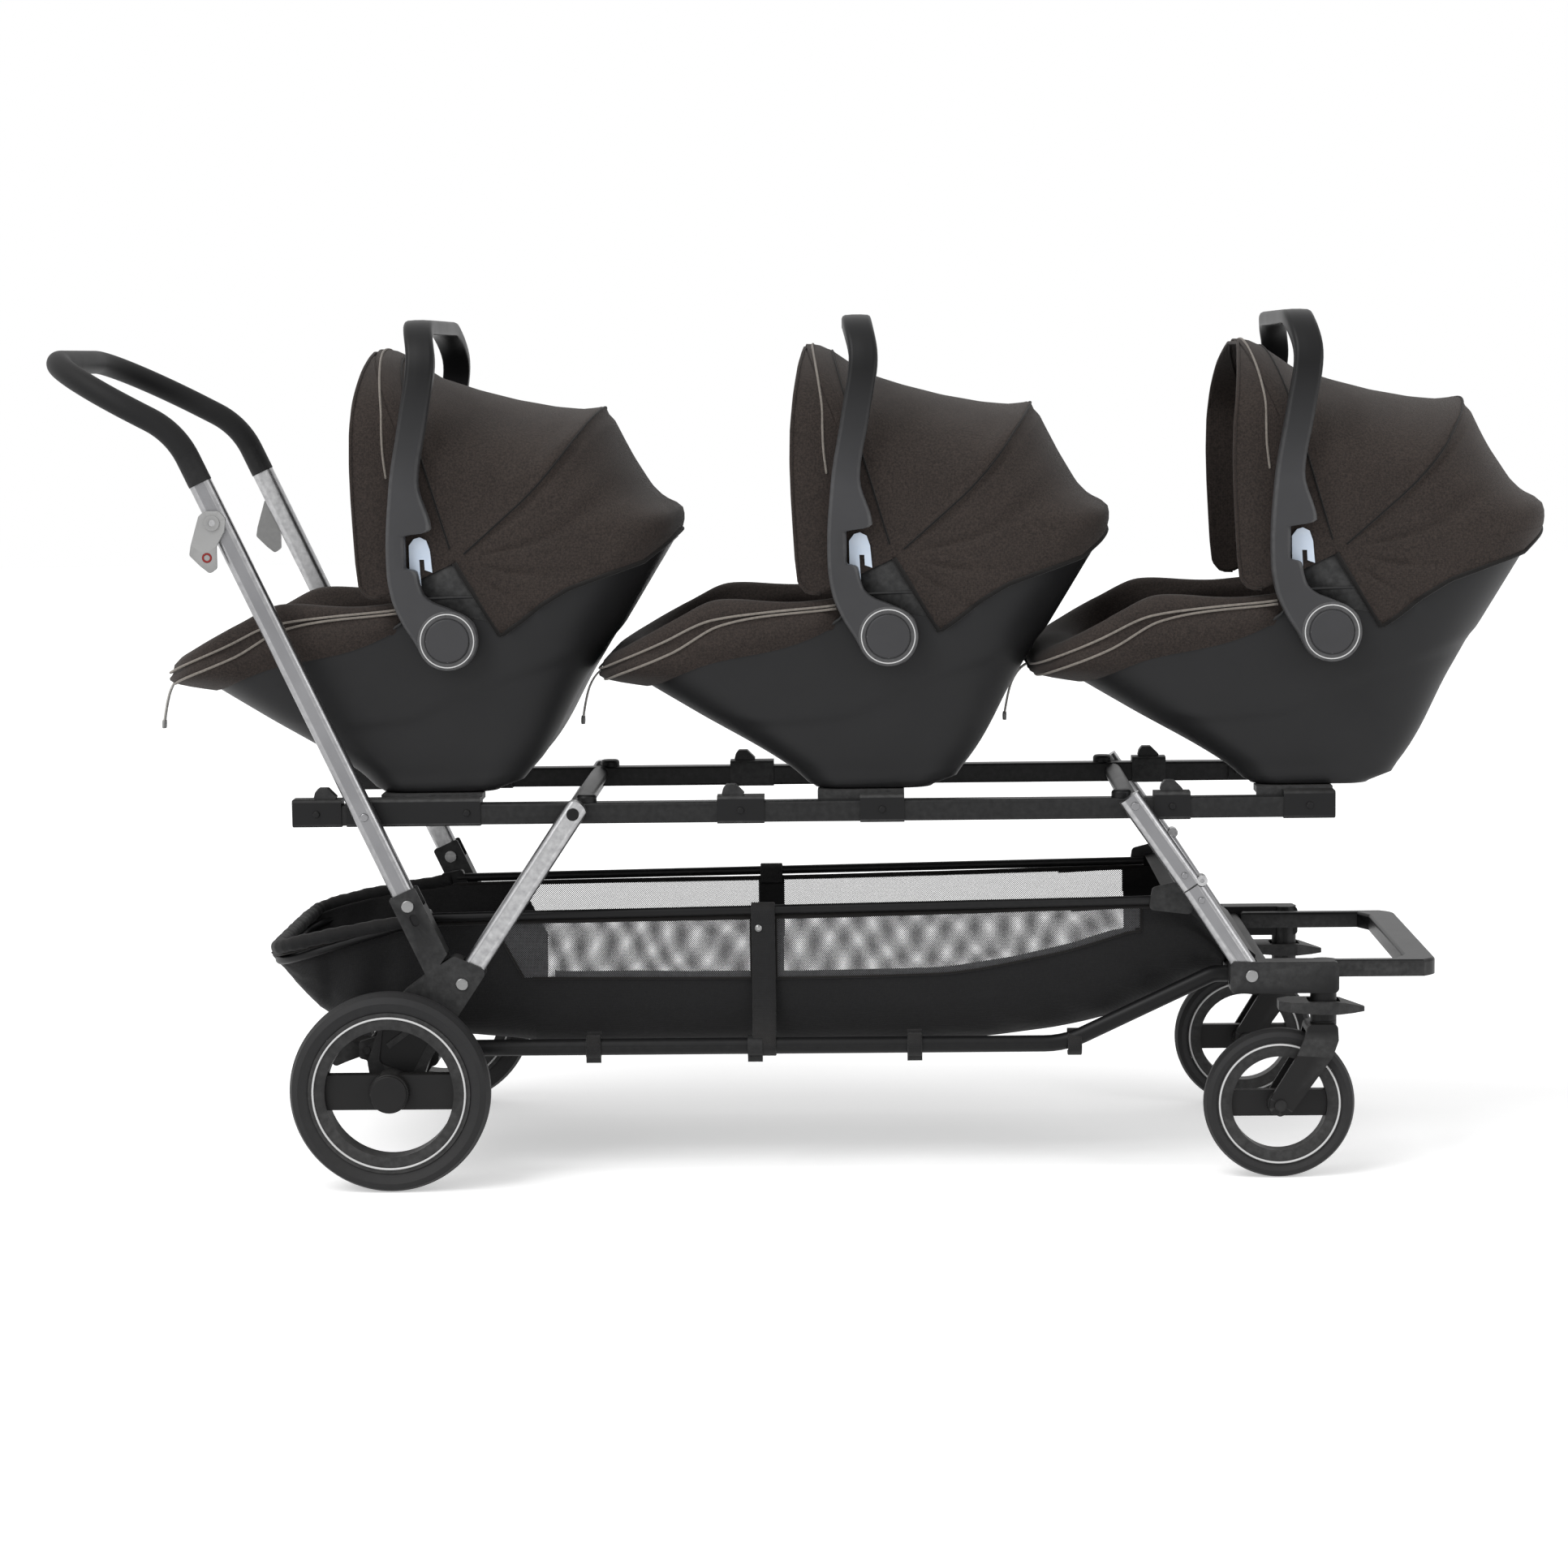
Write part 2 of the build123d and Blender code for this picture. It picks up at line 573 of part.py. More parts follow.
def cross_tubes():
    """Tubes between the rails, the pivot pins at the rear legs and the round knobs."""
    parts = []
    inner = RAIL_Y - RAIL_SIZE / 2
    leg_out = LEG_Y + LEG_THICK / 2
    rear = disc(*REAR_LEG_BOLT, CROSS_TUBE_R, -inner + RUNNING, inner - RUNNING)
    rear += disc(*REAR_LEG_BOLT, BOLT_R, -leg_out - SOFT, leg_out + SOFT)
    for head in both(bolt_head(REAR_LEG_BOLT, leg_out + SOFT)):
        rear += head
    front_low = (FRONT_LEG_BOLT[0], RAIL_Z)
    front = disc(*front_low, CROSS_TUBE_R, -inner + RUNNING, inner - RUNNING)
    parts += [rear, front]
    for x in (REAR_LEG_BOLT[0] + 14, FRONT_LEG_BOLT[0] - 14):
        knob = Pos(x, RAIL_Y, RAIL_Z + RAIL_SIZE / 2 + KNOB_HIGH / 2) * Cylinder(KNOB_R, KNOB_HIGH)
        knob = fillet(knob.edges().group_by(Axis.Z)[-1], 4)
        parts += both(knob)
    return parts


def knee():
    """Side view point of the knee pivot, on the front edge of the leg."""
    angle = side_angle(HOUSING_BOLT, FRONT_LEG_BOLT)
    return ahead(FRONT_LEG_SPLIT, angle, 0, -LEG_WIDTH / 2)


def fold_of_front_leg():
    """Turns of the lower half and of the upper half against it, at the fold's end."""
    drop_from = side_angle(BRACKET_BOLT, REAR_LEG_BOLT)
    reach = math.dist(BRACKET_BOLT, REAR_LEG_BOLT)
    moved = ahead(BRACKET_BOLT, drop_from - FOLD_DEG, reach)
    top = (FRONT_LEG_BOLT[0] + moved[0] - REAR_LEG_BOLT[0], FRONT_LEG_BOLT[1] + moved[1] - REAR_LEG_BOLT[1])
    pivot = knee()
    upper, lower = math.dist(FRONT_LEG_BOLT, pivot), math.dist(HOUSING_BOLT, pivot)
    across_gap = math.dist(HOUSING_BOLT, top)
    open_angle = math.degrees(math.acos((lower ** 2 + across_gap ** 2 - upper ** 2) / (2 * lower * across_gap)))
    lower_to = side_angle(HOUSING_BOLT, top) + open_angle
    lower_turn = lower_to - side_angle(HOUSING_BOLT, pivot)
    knee_now = ahead(HOUSING_BOLT, lower_to, lower)
    upper_turn = side_angle(knee_now, top) - side_angle(pivot, FRONT_LEG_BOLT)
    return lower_turn, upper_turn - lower_turn


LOWER_LEG_TURN, UPPER_LEG_TURN = fold_of_front_leg()


def front_leg_lower():
    """Lower half of each front leg, with the inner lug of the knee."""
    angle = side_angle(HOUSING_BOLT, FRONT_LEG_SPLIT)
    reach = math.dist(HOUSING_BOLT, FRONT_LEG_SPLIT)
    leg = flat_bar(HOUSING_BOLT, FRONT_LEG_SPLIT, LEG_Y, 0, -1.0)
    foot = flat_bar(HOUSING_BOLT, FRONT_LEG_SPLIT, LEG_Y, 14, -reach + 5)
    leg += foot & disc(*HOUSING_BOLT, LEG_WIDTH / 2, LEG_Y - 12, LEG_Y + 12)
    pivot = knee()
    leg -= disc(*pivot, KNEE_R + SLIDE, LEG_Y, LEG_Y + 12)
    leg += disc(*pivot, KNEE_R, LEG_Y - LEG_THICK / 2 + 1, LEG_Y - SOFT)
    leg += disc(*pivot, KNEE_PIN_R, LEG_Y - 2, LEG_Y + LEG_THICK / 2 - 2)
    leg -= disc(*HOUSING_BOLT, BOLT_R + RUNNING, LEG_Y - 20, LEG_Y + 20)
    bolt = ahead(FRONT_LEG_SPLIT, angle, -19)
    leg += bolt_head(bolt, LEG_Y + LEG_THICK / 2, 4)
    return both(leg)


def front_leg_upper():
    """Upper half of each front leg, with the outer lug of the knee."""
    leg = flat_bar(FRONT_LEG_SPLIT, FRONT_LEG_BOLT, LEG_Y, -1.0, 12)
    pivot = knee()
    leg -= disc(*pivot, KNEE_R + SLIDE, LEG_Y - 12, LEG_Y)
    leg += disc(*pivot, KNEE_R, LEG_Y + SOFT, LEG_Y + LEG_THICK / 2 - 1)
    leg -= disc(*pivot, KNEE_PIN_R + RUNNING, LEG_Y - 12, LEG_Y + 12)
    angle = side_angle(FRONT_LEG_SPLIT, FRONT_LEG_BOLT)
    leg += bolt_head(ahead(FRONT_LEG_SPLIT, angle, 17), LEG_Y + LEG_THICK / 2, 4)
    leg += bolt_head(FRONT_LEG_BOLT, LEG_Y + LEG_THICK / 2, 5)
    return both(leg)


def handle_points():
    """The push handle's line from the left socket to the right one."""
    bend = ahead(SOCKET_BOLT, side_angle(SOCKET_BOLT, GRIP_END), HANDLE_BEND_UP)
    side = [(x, LEG_Y, z) for x, z in (SOCKET_BOLT, bend, HANDLE_TIP)]
    return side + [(x, -y, z) for x, y, z in reversed(side)]


def grip_path():
    """The stretch of the handle's line that the grip covers."""
    points = handle_points()
    points[0] = (GRIP_END[0], LEG_Y, GRIP_END[1])
    points[-1] = (GRIP_END[0], -LEG_Y, GRIP_END[1])
    radii = [HANDLE_BEND_R, HANDLE_CORNER_R, HANDLE_CORNER_R, HANDLE_BEND_R]
    return bent_path(points, radii)


def handle_tube():
    """Flat oval side tubes of the push handle and the round core under the grip."""
    core = round_tube(grip_path(), HANDLE_CORE_R)
    leg = flat_bar(SOCKET_BOLT, GRIP_END, LEG_Y, 0, -SOFT)
    end = flat_bar(SOCKET_BOLT, GRIP_END, LEG_Y, 14, -400) & disc(
        *SOCKET_BOLT, LEG_WIDTH / 2, LEG_Y - 12, LEG_Y + 12)
    up = side_angle(SOCKET_BOLT, GRIP_END)
    leg = leg + end
    leg -= disc(*SOCKET_BOLT, BOLT_R + RUNNING, LEG_Y - 20, LEG_Y + 20)
    leg += bolt_head(ahead(SOCKET_BOLT, up, RIVET_UP), LEG_Y + LEG_THICK / 2, 5)
    handle = core
    for side in both(leg):
        handle += side
    return handle


def handle_grip():
    """Soft grip sleeve over the bent part of the handle."""
    return round_tube(grip_path(), GRIP_R, HANDLE_CORE_R + RUNNING)


def lever_mount():
    """Lever pins on the outer faces of the handle tubes."""
    return both(disc(*RELEASE_BOLT, 4.0, LEG_Y + LEG_THICK / 2, LEG_Y + LEG_THICK / 2 + 8))


def release_lever(side):
    """Release lever beside the handle tube: a winged plate with a finger pad."""
    face = LEG_Y + LEG_THICK / 2 + SOFT
    plate = outline([
        (-704, 806), (-697, 812), (-680, 812), (-672, 803), (-674, 788), (-684, 770),
        (-684, 744), (-692, 738), (-702, 746), (-716, 760), (-714, 772),
    ], 4)
    lever = across(plate, face, face + 7)
    lever -= disc(*RELEASE_BOLT, 4.0 + RUNNING, face - 1, face + 9)
    lever -= disc(-695.0, 757.0, 6.0, face + 5.5, face + 9)
    lever += disc(-695.0, 757.0, 3.5, face + 5, face + 7)
    boss = disc(*RELEASE_BOLT, 9.0, face + 5, face + 9) - disc(*RELEASE_BOLT, 4.0 + RUNNING, face, face + 10)
    lever += boss
    return lever if side > 0 else mirror(lever, about=Plane.XZ)


# Wheels


def wheel_section(radius, width, inner):
    """Half section of a tyre with a rounded tread, as radius against width."""
    half = width / 2
    tread = 0.28 * width
    points = [(inner, -half * 0.72), (radius - tread, -half), (radius - tread * 0.35, -half * 0.82),
              (radius, -half * 0.3), (radius, half * 0.3), (radius - tread * 0.35, half * 0.82),
              (radius - tread, half), (inner, half * 0.72)]
    return points


def turned(points, centre, y_mid):
    """Turn a closed half section of (radius, across) points about an axle."""
    face = make_face(Polyline(*[(r, a) for r, a in points], close=True))
    solid = revolve(face, axis=Axis.Y)
    return Pos(centre[0], y_mid, centre[1]) * solid


def tyre(centre, y_mid, radius, width, inner):
    """Solid rubber tyre."""
    return turned(wheel_section(radius, width, inner), centre, y_mid)


def rim(centre, y_mid, bead, ring_in, bar_half, width, hub_r, axle_r):
    """Wheel with a wide bar through the hub and two D-shaped openings."""
    half = width / 2
    ring = turned([(ring_in, -half), (bead - SOFT / 3, -half), (bead - SOFT / 3, half), (ring_in, half)],
                  centre, y_mid)
    web_face = Circle(ring_in + 2)
    window = Circle(ring_in) - Rectangle(4 * ring_in, 2 * bar_half)
    for piece in window.faces():
        web_face -= fillet(piece.vertices(), 8)
    web = across(Pos(*centre) * web_face, y_mid - half * 0.62, y_mid + half * 0.5)
    hub = disc(*centre, hub_r, y_mid - half - HUB_PROUD, y_mid + half + HUB_PROUD)
    hub = fillet(hub.edges().group_by(Axis.Y)[-1], 3)
    wheel = ring + web + hub
    return wheel - disc(*centre, axle_r + RUNNING, y_mid - half - 10, y_mid + half + 10)


def rear_wheel(side):
    """Rear wheel with its hub cap."""
    wheel = rim(REAR_AXLE, REAR_WHEEL_Y, 97, 77, 21, REAR_RIM_WIDTH, 24, REAR_AXLE_R)
    cap = disc(*REAR_AXLE, 22, REAR_WHEEL_Y + 19.2, REAR_WHEEL_Y + 23)
    wheel += fillet(cap.edges().group_by(Axis.Y)[-1], 2)
    return wheel if side > 0 else mirror(wheel, about=Plane.XZ)


def caster_fork():
    """Swivel fork: stem, crown and the two legs that trail back to the axle."""
    y_in = FRONT_TYRE_WIDTH / 2 + 3
    y_out = y_in + 6
    stem = Pos(SWIVEL_X, 0, POST_LOW + 14) * Cylinder(STEM_R, 46)
    crown_top, crown_high = POST_LOW - SOFT, 12.0
    crown = Pos(SWIVEL_X, 0, crown_top - crown_high / 2) * Cylinder(POST_R, crown_high)
    side = outline([
        (604, 187), (640, 187), (641, 168), (634, 148), (586, 82), (571, 76), (559, 84), (560, 98),
        (592, 150), (600, 170),
    ], 5)
    legs = across(side, -y_out, y_out)
    gap = across(Pos(*FRONT_AXLE) * Circle(FRONT_WHEEL_R + 4), -y_in, y_in)
    legs -= gap
    legs -= across(outline([(540, 60), (592, 60), (592, 150), (540, 150)]), -y_in, y_in)
    hub_face = FRONT_HUB_HALF + SOFT
    for boss in both(disc(*FRONT_AXLE, 9, hub_face, y_in)):
        legs += boss
    axle = disc(*FRONT_AXLE, FRONT_AXLE_R, -y_out - 1.5, y_out + 1.5)
    heads = disc(*FRONT_AXLE, 7, y_out, y_out + 3)
    fork = legs + crown + stem + axle + heads + mirror(heads, about=Plane.XZ)
    return Pos(0, FRONT_WHEEL_Y, 0) * fork


def swivel_lock():
    """Rocking collar round the swivel post, with a pointed paddle in front."""
    plan = make_face(Polyline((SWIVEL_X - 54, -12), (SWIVEL_X - 40, -24), (SWIVEL_X + 16, -24),
                              (SWIVEL_X + 49, -4), (SWIVEL_X + 49, 4), (SWIVEL_X + 16, 24),
                              (SWIVEL_X - 40, 24), (SWIVEL_X - 54, 12), close=True))
    plan = fillet(plan.vertices(), 3)
    plan -= Pos(SWIVEL_X, 0) * RectangleRounded(2 * POST_R + 7, 2 * POST_R + 2, 4)
    lever = extrude(Plane.XY.offset(LOCK_Z - 8) * plan, amount=15)
    shape = outline([
        (SWIVEL_X - 55, 222), (SWIVEL_X - 12, 218), (SWIVEL_X + 22, 213), (SWIVEL_X + 50, 205),
        (SWIVEL_X + 50, 200), (SWIVEL_X + 12, 197.5), (SWIVEL_X - 55, 203),
    ])
    lever = lever & across(shape, -30, 30)
    lever -= Pos(SWIVEL_X, 0, LOCK_Z) * Rot(90, 0, 0) * Cylinder(3 + RUNNING, 2 * (POST_R + 3.8 + SOFT))
    return Pos(0, FRONT_WHEEL_Y, 0) * lever


# Infant seat


def tub(inset):
    """The seat's bucket as a closed loft, drawn in by an inset."""
    stations = (
        (SHELL_BOTTOM, -508, -363, SHELL_HALF - 14, 34),
        (SHELL_BOTTOM + 12, -524, -334, SHELL_HALF - 12, 44),
        (600, -727, -255, SHELL_HALF - 4, 100),
        (660, -827, -218, SHELL_HALF, 120),
        (780, -1027, -145, SHELL_HALF, 120),
    )
    faces = []
    for z, front, rear, half, corner in stations:
        front_x, rear_x = front + 1.6 * inset, rear - 1.2 * inset
        level = z + inset if z < 500 else z
        face = RectangleRounded(rear_x - front_x, 2 * (half - inset), max(corner - inset, 12))
        faces.append(Plane.XY.offset(level) * Pos((front_x + rear_x) / 2, 0) * face)
    return loft(faces, ruled=True)


def rim_line():
    """Side view points of the shell's rim, from the foot to the back."""
    return [(-760, 575), (-705, 596), (-632, 622), (-540, 641), (-477, 668), (-448, 700),
            (-445, 758), (-388, 758), (-368, 702), (-330, 700), (-273, 728), (-190, 757), (-120, 762)]


def seat_shell():
    """Moulded bucket with the hub pins, canopy ears and the rocker ribs."""
    zone = outline(rim_line() + [(-120, 440), (-760, 440)])
    shell = (tub(0) - tub(SHELL_WALL)) & across(zone, -210, 210)
    for side in (1, -1):
        pin = disc(*HUB, HUB_PIN_R, SHELL_HALF - 3, ARM_OUT - 10.5)
        ear = disc(*CANOPY_PIVOT, BOW_ROD_R, BOW_Y - 3, SHELL_HALF - 1)
        if side < 0:
            pin, ear = mirror(pin, about=Plane.XZ), mirror(ear, about=Plane.XZ)
        shell += pin
        shell += ear
    return shell


def pad(start, end, stations, sink=8.0):
    """Crowned pad on a flat wall: (share of the run, half width, crown) sections from start to end."""
    run = Vector(end[0] - start[0], 0, end[1] - start[1])
    faces = []
    for share, half, crown in stations:
        plane = Plane(
            origin=Vector(start[0], 0, start[1]) + run * share, x_dir=(0, 1, 0), z_dir=run.normalized())
        base = Line((-half, -sink), (half, -sink))
        faces.append(plane * make_face(base + ThreePointArc((half, -sink), (0, crown), (-half, -sink))))
    return loft(faces, ruled=True)


def seat_liner():
    """Padded liner: bucket lining, cover over the foot end, and two crowned pads with sewn channels."""
    cover_zone = outline([
        (-760, 575 + SOFT), (-705, 596 + SOFT), (-632, 622 + SOFT), (-540, 641 + SOFT),
        (-490, 663), (-490, 691), (-632, 679), (-676, 660), (-731, 634), (-760, 600),
    ])
    inside_zone = outline([
        (-760, 440), (-760, 600), (-731, 634), (-676, 660), (-632, 679), (-490, 691),
        (-440, 700), (-380, 708), (-300, 730), (-200, 752), (-120, 760), (-120, 440),
    ])
    inner = tub(SHELL_WALL + SOFT) & across(inside_zone, -210, 210)
    cover = tub(0) & across(cover_zone, -210, 210)
    liner = inner + cover - tub(SHELL_WALL + LINER_THICK)
    liner += pad((-352, 503.5), (-257, 636), PAD_SECTIONS)
    liner += pad((-660, 581), (-500, 500.5), PAD_SECTIONS)
    return liner


def carry_handle():
    """U-shaped carry handle with round hubs and a notch that shows the belt guide."""
    edge = (
        Spline((-461, 649), (-485, 705), (-488, 760), (-483, 835), (-470, 915), (-460, 985), (-472, 1045))
        + Polyline((-472, 1045), (-434, 1045))
        + Spline((-434, 1045), (-426, 985), (-436, 915), (-448, 840), (-434, 783))
        + Polyline((-434, 783), (-465, 779), (-465, 722), (-450, 716), (-433, 697), (-404, 686),
                   (-404, 649), (-461, 649))
    )
    arm = make_face(edge)
    corners = [v for v in arm.vertices() if -467 < v.X < -430 and 695 < v.Y < 782]
    arm = fillet(corners, 4)
    side = arm + Pos(*HUB) * Circle(HUB_R)
    body = across(side, -ARM_OUT, ARM_OUT)

    def arch(half, top, corner):
        face = make_face(Polyline((-half, 560), (half, 560), (half, top), (-half, top), close=True))
        face = fillet(face.vertices().group_by(Axis.Y)[-1], corner)
        return extrude(Plane(origin=(-600, 0, 0), x_dir=(0, 1, 0), z_dir=(1, 0, 0)) * face, amount=400)

    body &= arch(ARM_OUT, HANDLE_TOP, 84)
    body -= arch(ARM_IN, HANDLE_TOP - HANDLE_THICK, 70)
    for side_sign in (1, -1):
        pocket = disc(*HUB, BUTTON_R + SOFT, ARM_OUT - 10, ARM_OUT + 1)
        bore = disc(*HUB, HUB_PIN_R + RUNNING, ARM_IN - 1, ARM_OUT)
        if side_sign < 0:
            pocket, bore = mirror(pocket, about=Plane.XZ), mirror(bore, about=Plane.XZ)
        body -= pocket
        body -= bore
    return body


def hub_button(side):
    """Round release button in the carry handle's hub."""
    button = disc(*HUB, BUTTON_R, ARM_OUT - 10 + BUTTON_TRAVEL + SOFT, ARM_OUT + 3)
    button = fillet(button.edges().group_by(Axis.Y)[-1], 2)
    return button if side > 0 else mirror(button, about=Plane.XZ)


def belt_guides():
    """Belt guides: open hooks beside the carry handle, on a foot that stands on the shell's ear."""
    plate_in, plate_out = CANOPY_HALF + SOFT, ARM_IN - SOFT
    hook = outline([
        (-461.5, 726), (-462, 766), (-456, 774), (-449, 776), (-441, 772), (-437, 760),
        (-434.6, 733.7), (-443.4, 736.9), (-444, 749.2), (-449.9, 749.3), (-448.2, 717.7),
    ])
    foot = outline([(-443, 738), (-443.4, 756), (-436.6, 756), (-434.8, 735.6)])
    guide = across(hook, plate_in, plate_out) + across(foot, SHELL_HALF + RUNNING, plate_in)
    return both(guide)


def canopy_arch(inset):
    """The canopy's roof as arches from the front to the back."""
    stations = ((-560, 1000), (-498, 1000), (-443, 964), (-347, 935), (-250, 924), (-182, 823), (-100, 780))
    faces = []
    for x, top in stations:
        half, crown = CANOPY_HALF - inset, top - inset
        shoulder = crown - 78
        edges = Polyline((-half, 560), (half, 560), (half, shoulder))
        roof = ThreePointArc((half, shoulder), (0, crown), (-half, shoulder))
        side = Polyline((-half, shoulder), (-half, 560))
        face = make_face(edges + roof + side)
        plane = Plane(origin=(x, 0, 0), x_dir=(0, 1, 0), z_dir=(1, 0, 0))
        faces.append(plane * face)
    return loft(faces, ruled=True)


def hood(inset):
    """The canopy's solid shape, drawn in by an inset: arches whose rear corners are round in plan."""
    half = CANOPY_HALF - inset
    rear = CANOPY_REAR - inset
    plan = make_face(Polyline((-600, -half), (rear, -half), (rear, half), (-600, half), close=True))
    plan = fillet(plan.vertices().group_by(Axis.X)[-1], 110 - inset)
    return canopy_arch(inset) & extrude(Plane.XY.offset(550) * plan, amount=500)


def canopy():
    """Canopy cloth: a thin hood stretched over two stays, with a sewn fold along each."""
    side = outline([
        (-478, 706), (-512, 722), (-526, 790), (-529, 860), (-524, 940), (-512, 1010), (-120, 1010),
        (-130, 785), (-142, 776), (-181, 742), (-273, 712), (-332, 676), (-374, 690), (-384, 764),
        (-447, 764), (-449, 712),
    ])
    front_fold = outline([(-490, 780), (-498, 860), (-508, 1010), (-502, 1010), (-492, 860), (-484, 780)])
    rear_fold = outline([(-398, 758), (-330, 812), (-272, 869), (-216, 950), (-211, 947),
                         (-268, 865), (-326, 808), (-394, 753)])
    cloth = (hood(0) & across(side, -200, 200)) - hood(CANOPY_WALL)
    for fold in (front_fold, rear_fold):
        cloth += (hood(-CANOPY_SEAM) & across(fold, -200, 200)) - hood(CANOPY_WALL)
    return cloth


def canopy_bow():
    """Front bow of the canopy, hinged on the ears."""
    half = BOW_Y
    top = BOW_R - BOW_ROD_R
    path = bent_path([(0, half, 6), (0, half, top - 68), (0, 58, top),
                      (0, -58, top), (0, -half, top - 68), (0, -half, 6)],
                     [70, 150, 150, 70])
    rod = round_tube(path, BOW_ROD_R)
    eye = Rot(90, 0, 0) * Cylinder(8, 5)
    eye -= Rot(90, 0, 0) * Cylinder(BOW_ROD_R + RUNNING, 7)
    bow = rod + Pos(0, half, 0) * eye + Pos(0, -half, 0) * eye
    bow -= Pos(0, half, 0) * Rot(90, 0, 0) * Cylinder(BOW_ROD_R + RUNNING, 8)
    bow -= Pos(0, -half, 0) * Rot(90, 0, 0) * Cylinder(BOW_ROD_R + RUNNING, 8)
    return Pos(CANOPY_PIVOT[0], 0, CANOPY_PIVOT[1]) * Rot(0, -BOW_TILT, 0) * bow


def harness():
    """Shoulder straps, crotch strap with the buckle, and the adjuster strap at the foot."""
    strap_y, strap_half = 48, 14
    buckle = Pos(-462, 0, 553) * Rot(0, -15, 0) * Box(46, 40, 16)
    buckle = fillet(buckle.edges().filter_by(Axis.Y), 5)
    tongue = outline([(-448, 546), (-448, 551), (-434, 549), (-434, 545)])
    straps = buckle + across(tongue, -strap_y - strap_half, strap_y + strap_half)
    crotch = outline([(-462, 550), (-458, 550), (-453, SHELL_BOTTOM + SHELL_WALL + LINER_THICK + SOFT),
                      (-457, SHELL_BOTTOM + SHELL_WALL + LINER_THICK + SOFT)])
    straps += across(crotch, -strap_half, strap_half)
    for y in (-strap_y, strap_y):
        strap = outline([(-246.6, 652), (-244.8, 655), (-300, 634), (-378, 566), (-436, 549),
                         (-436, 545), (-376, 561), (-298, 629)])
        straps += across(strap, y - strap_half, y + strap_half)
    parts = [straps]
    tail = outline([(-734.4, 604), (-739.4, 607), (-764, 606), (-778, 600), (-789, 582), (-795, 560),
                    (-798, 538), (-795, 538), (-792, 560), (-786, 581), (-776, 597), (-763, 603)])
    parts.append(across(tail, -7, 7))
    return parts


def seat(index):
    """All pieces of one infant seat, set at its place in the row."""
    place = Pos(index * SEAT_PITCH, 0, 0)
    name = ("rear", "middle", "front")[index]
    keep(f"{name}_seat_shell", place * seat_shell())
    keep(f"{name}_seat_liner", place * seat_liner())
    keep(f"{name}_canopy", place * canopy())
    keep(f"{name}_canopy_bow", place * canopy_bow())
    keep(f"{name}_carry_handle", place * carry_handle())
    keep(f"{name}_hub_button_left", place * hub_button(1))
    keep(f"{name}_hub_button_right", place * hub_button(-1))
    keep(f"{name}_belt_guides", *[place * guide for guide in belt_guides()])
    keep(f"{name}_harness", *[place * piece for piece in harness()])


def build():
    """Make every piece."""
    keep("rear_axle", rear_axle())
    keep("rear_brackets", *rear_brackets())
    keep("lower_side_tubes", *lower_side_tubes(), *basket_clips())
    keep("front_crossmember", front_crossmember())
    keep("footrest_bumper", footrest_bumper())
    keep("basket_rim_tubes", basket_rim_tubes())
    keep("basket", basket())
    keep("basket_front_panel", basket_front_panel())
    keep("brake_pedal", brake_pedal())
    keep("frame_bolts", *frame_bolts())
    keep("rear_legs", *rear_legs())
    keep("side_rails", *side_rails())
    keep("rail_fittings", *rail_fittings())
    keep("seat_adapters", *seat_adapters())
    keep("cross_tubes", *cross_tubes())
    keep("front_leg_lower", *front_leg_lower())
    keep("front_leg_upper", *front_leg_upper())
    keep("handle_tube", handle_tube(), *lever_mount())
    keep("handle_grip", handle_grip())
    for name, side in (("left", 1), ("right", -1)):
        keep(f"release_lever_{name}", release_lever(side))
        keep(f"rear_wheel_{name}", rear_wheel(side))
        back = tyre(REAR_AXLE, side * REAR_WHEEL_Y, REAR_WHEEL_R, REAR_TYRE_WIDTH, 97)
        keep(f"rear_tyre_{name}", back)
        front = rim(FRONT_AXLE, FRONT_WHEEL_Y, 74, 57, 15.7, FRONT_RIM_WIDTH, 15, FRONT_AXLE_R)
        keep(f"front_wheel_{name}", front if side > 0 else mirror(front, about=Plane.XZ))
        keep(f"front_tyre_{name}", tyre(FRONT_AXLE, side * FRONT_WHEEL_Y, FRONT_WHEEL_R, FRONT_TYRE_WIDTH, 74))
        fork, lock = caster_fork(), swivel_lock()
        if side < 0:
            fork, lock = mirror(fork, about=Plane.XZ), mirror(lock, about=Plane.XZ)
        keep(f"caster_fork_{name}", fork)
        keep(f"swivel_lock_{name}", lock)
    for index in range(3):
        seat(index)


build()
os.makedirs("parts", exist_ok=True)
for node, solids in NODES.items():
    shape = solids[0] if len(solids) == 1 else Compound(solids)
    export_step(shape, f"parts/{node}.step")
print(len(NODES), "nodes; fold turns", round(LOWER_LEG_TURN, 3), round(UPPER_LEG_TURN, 3))
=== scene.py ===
"""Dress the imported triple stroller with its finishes, cloth, pads and trim, and light it in a studio."""

from __future__ import annotations

import json
import logging
import math
from dataclasses import dataclass
from enum import Enum
from typing import Callable, Sequence

import bmesh
import bpy
from mathutils import Matrix, Vector, noise

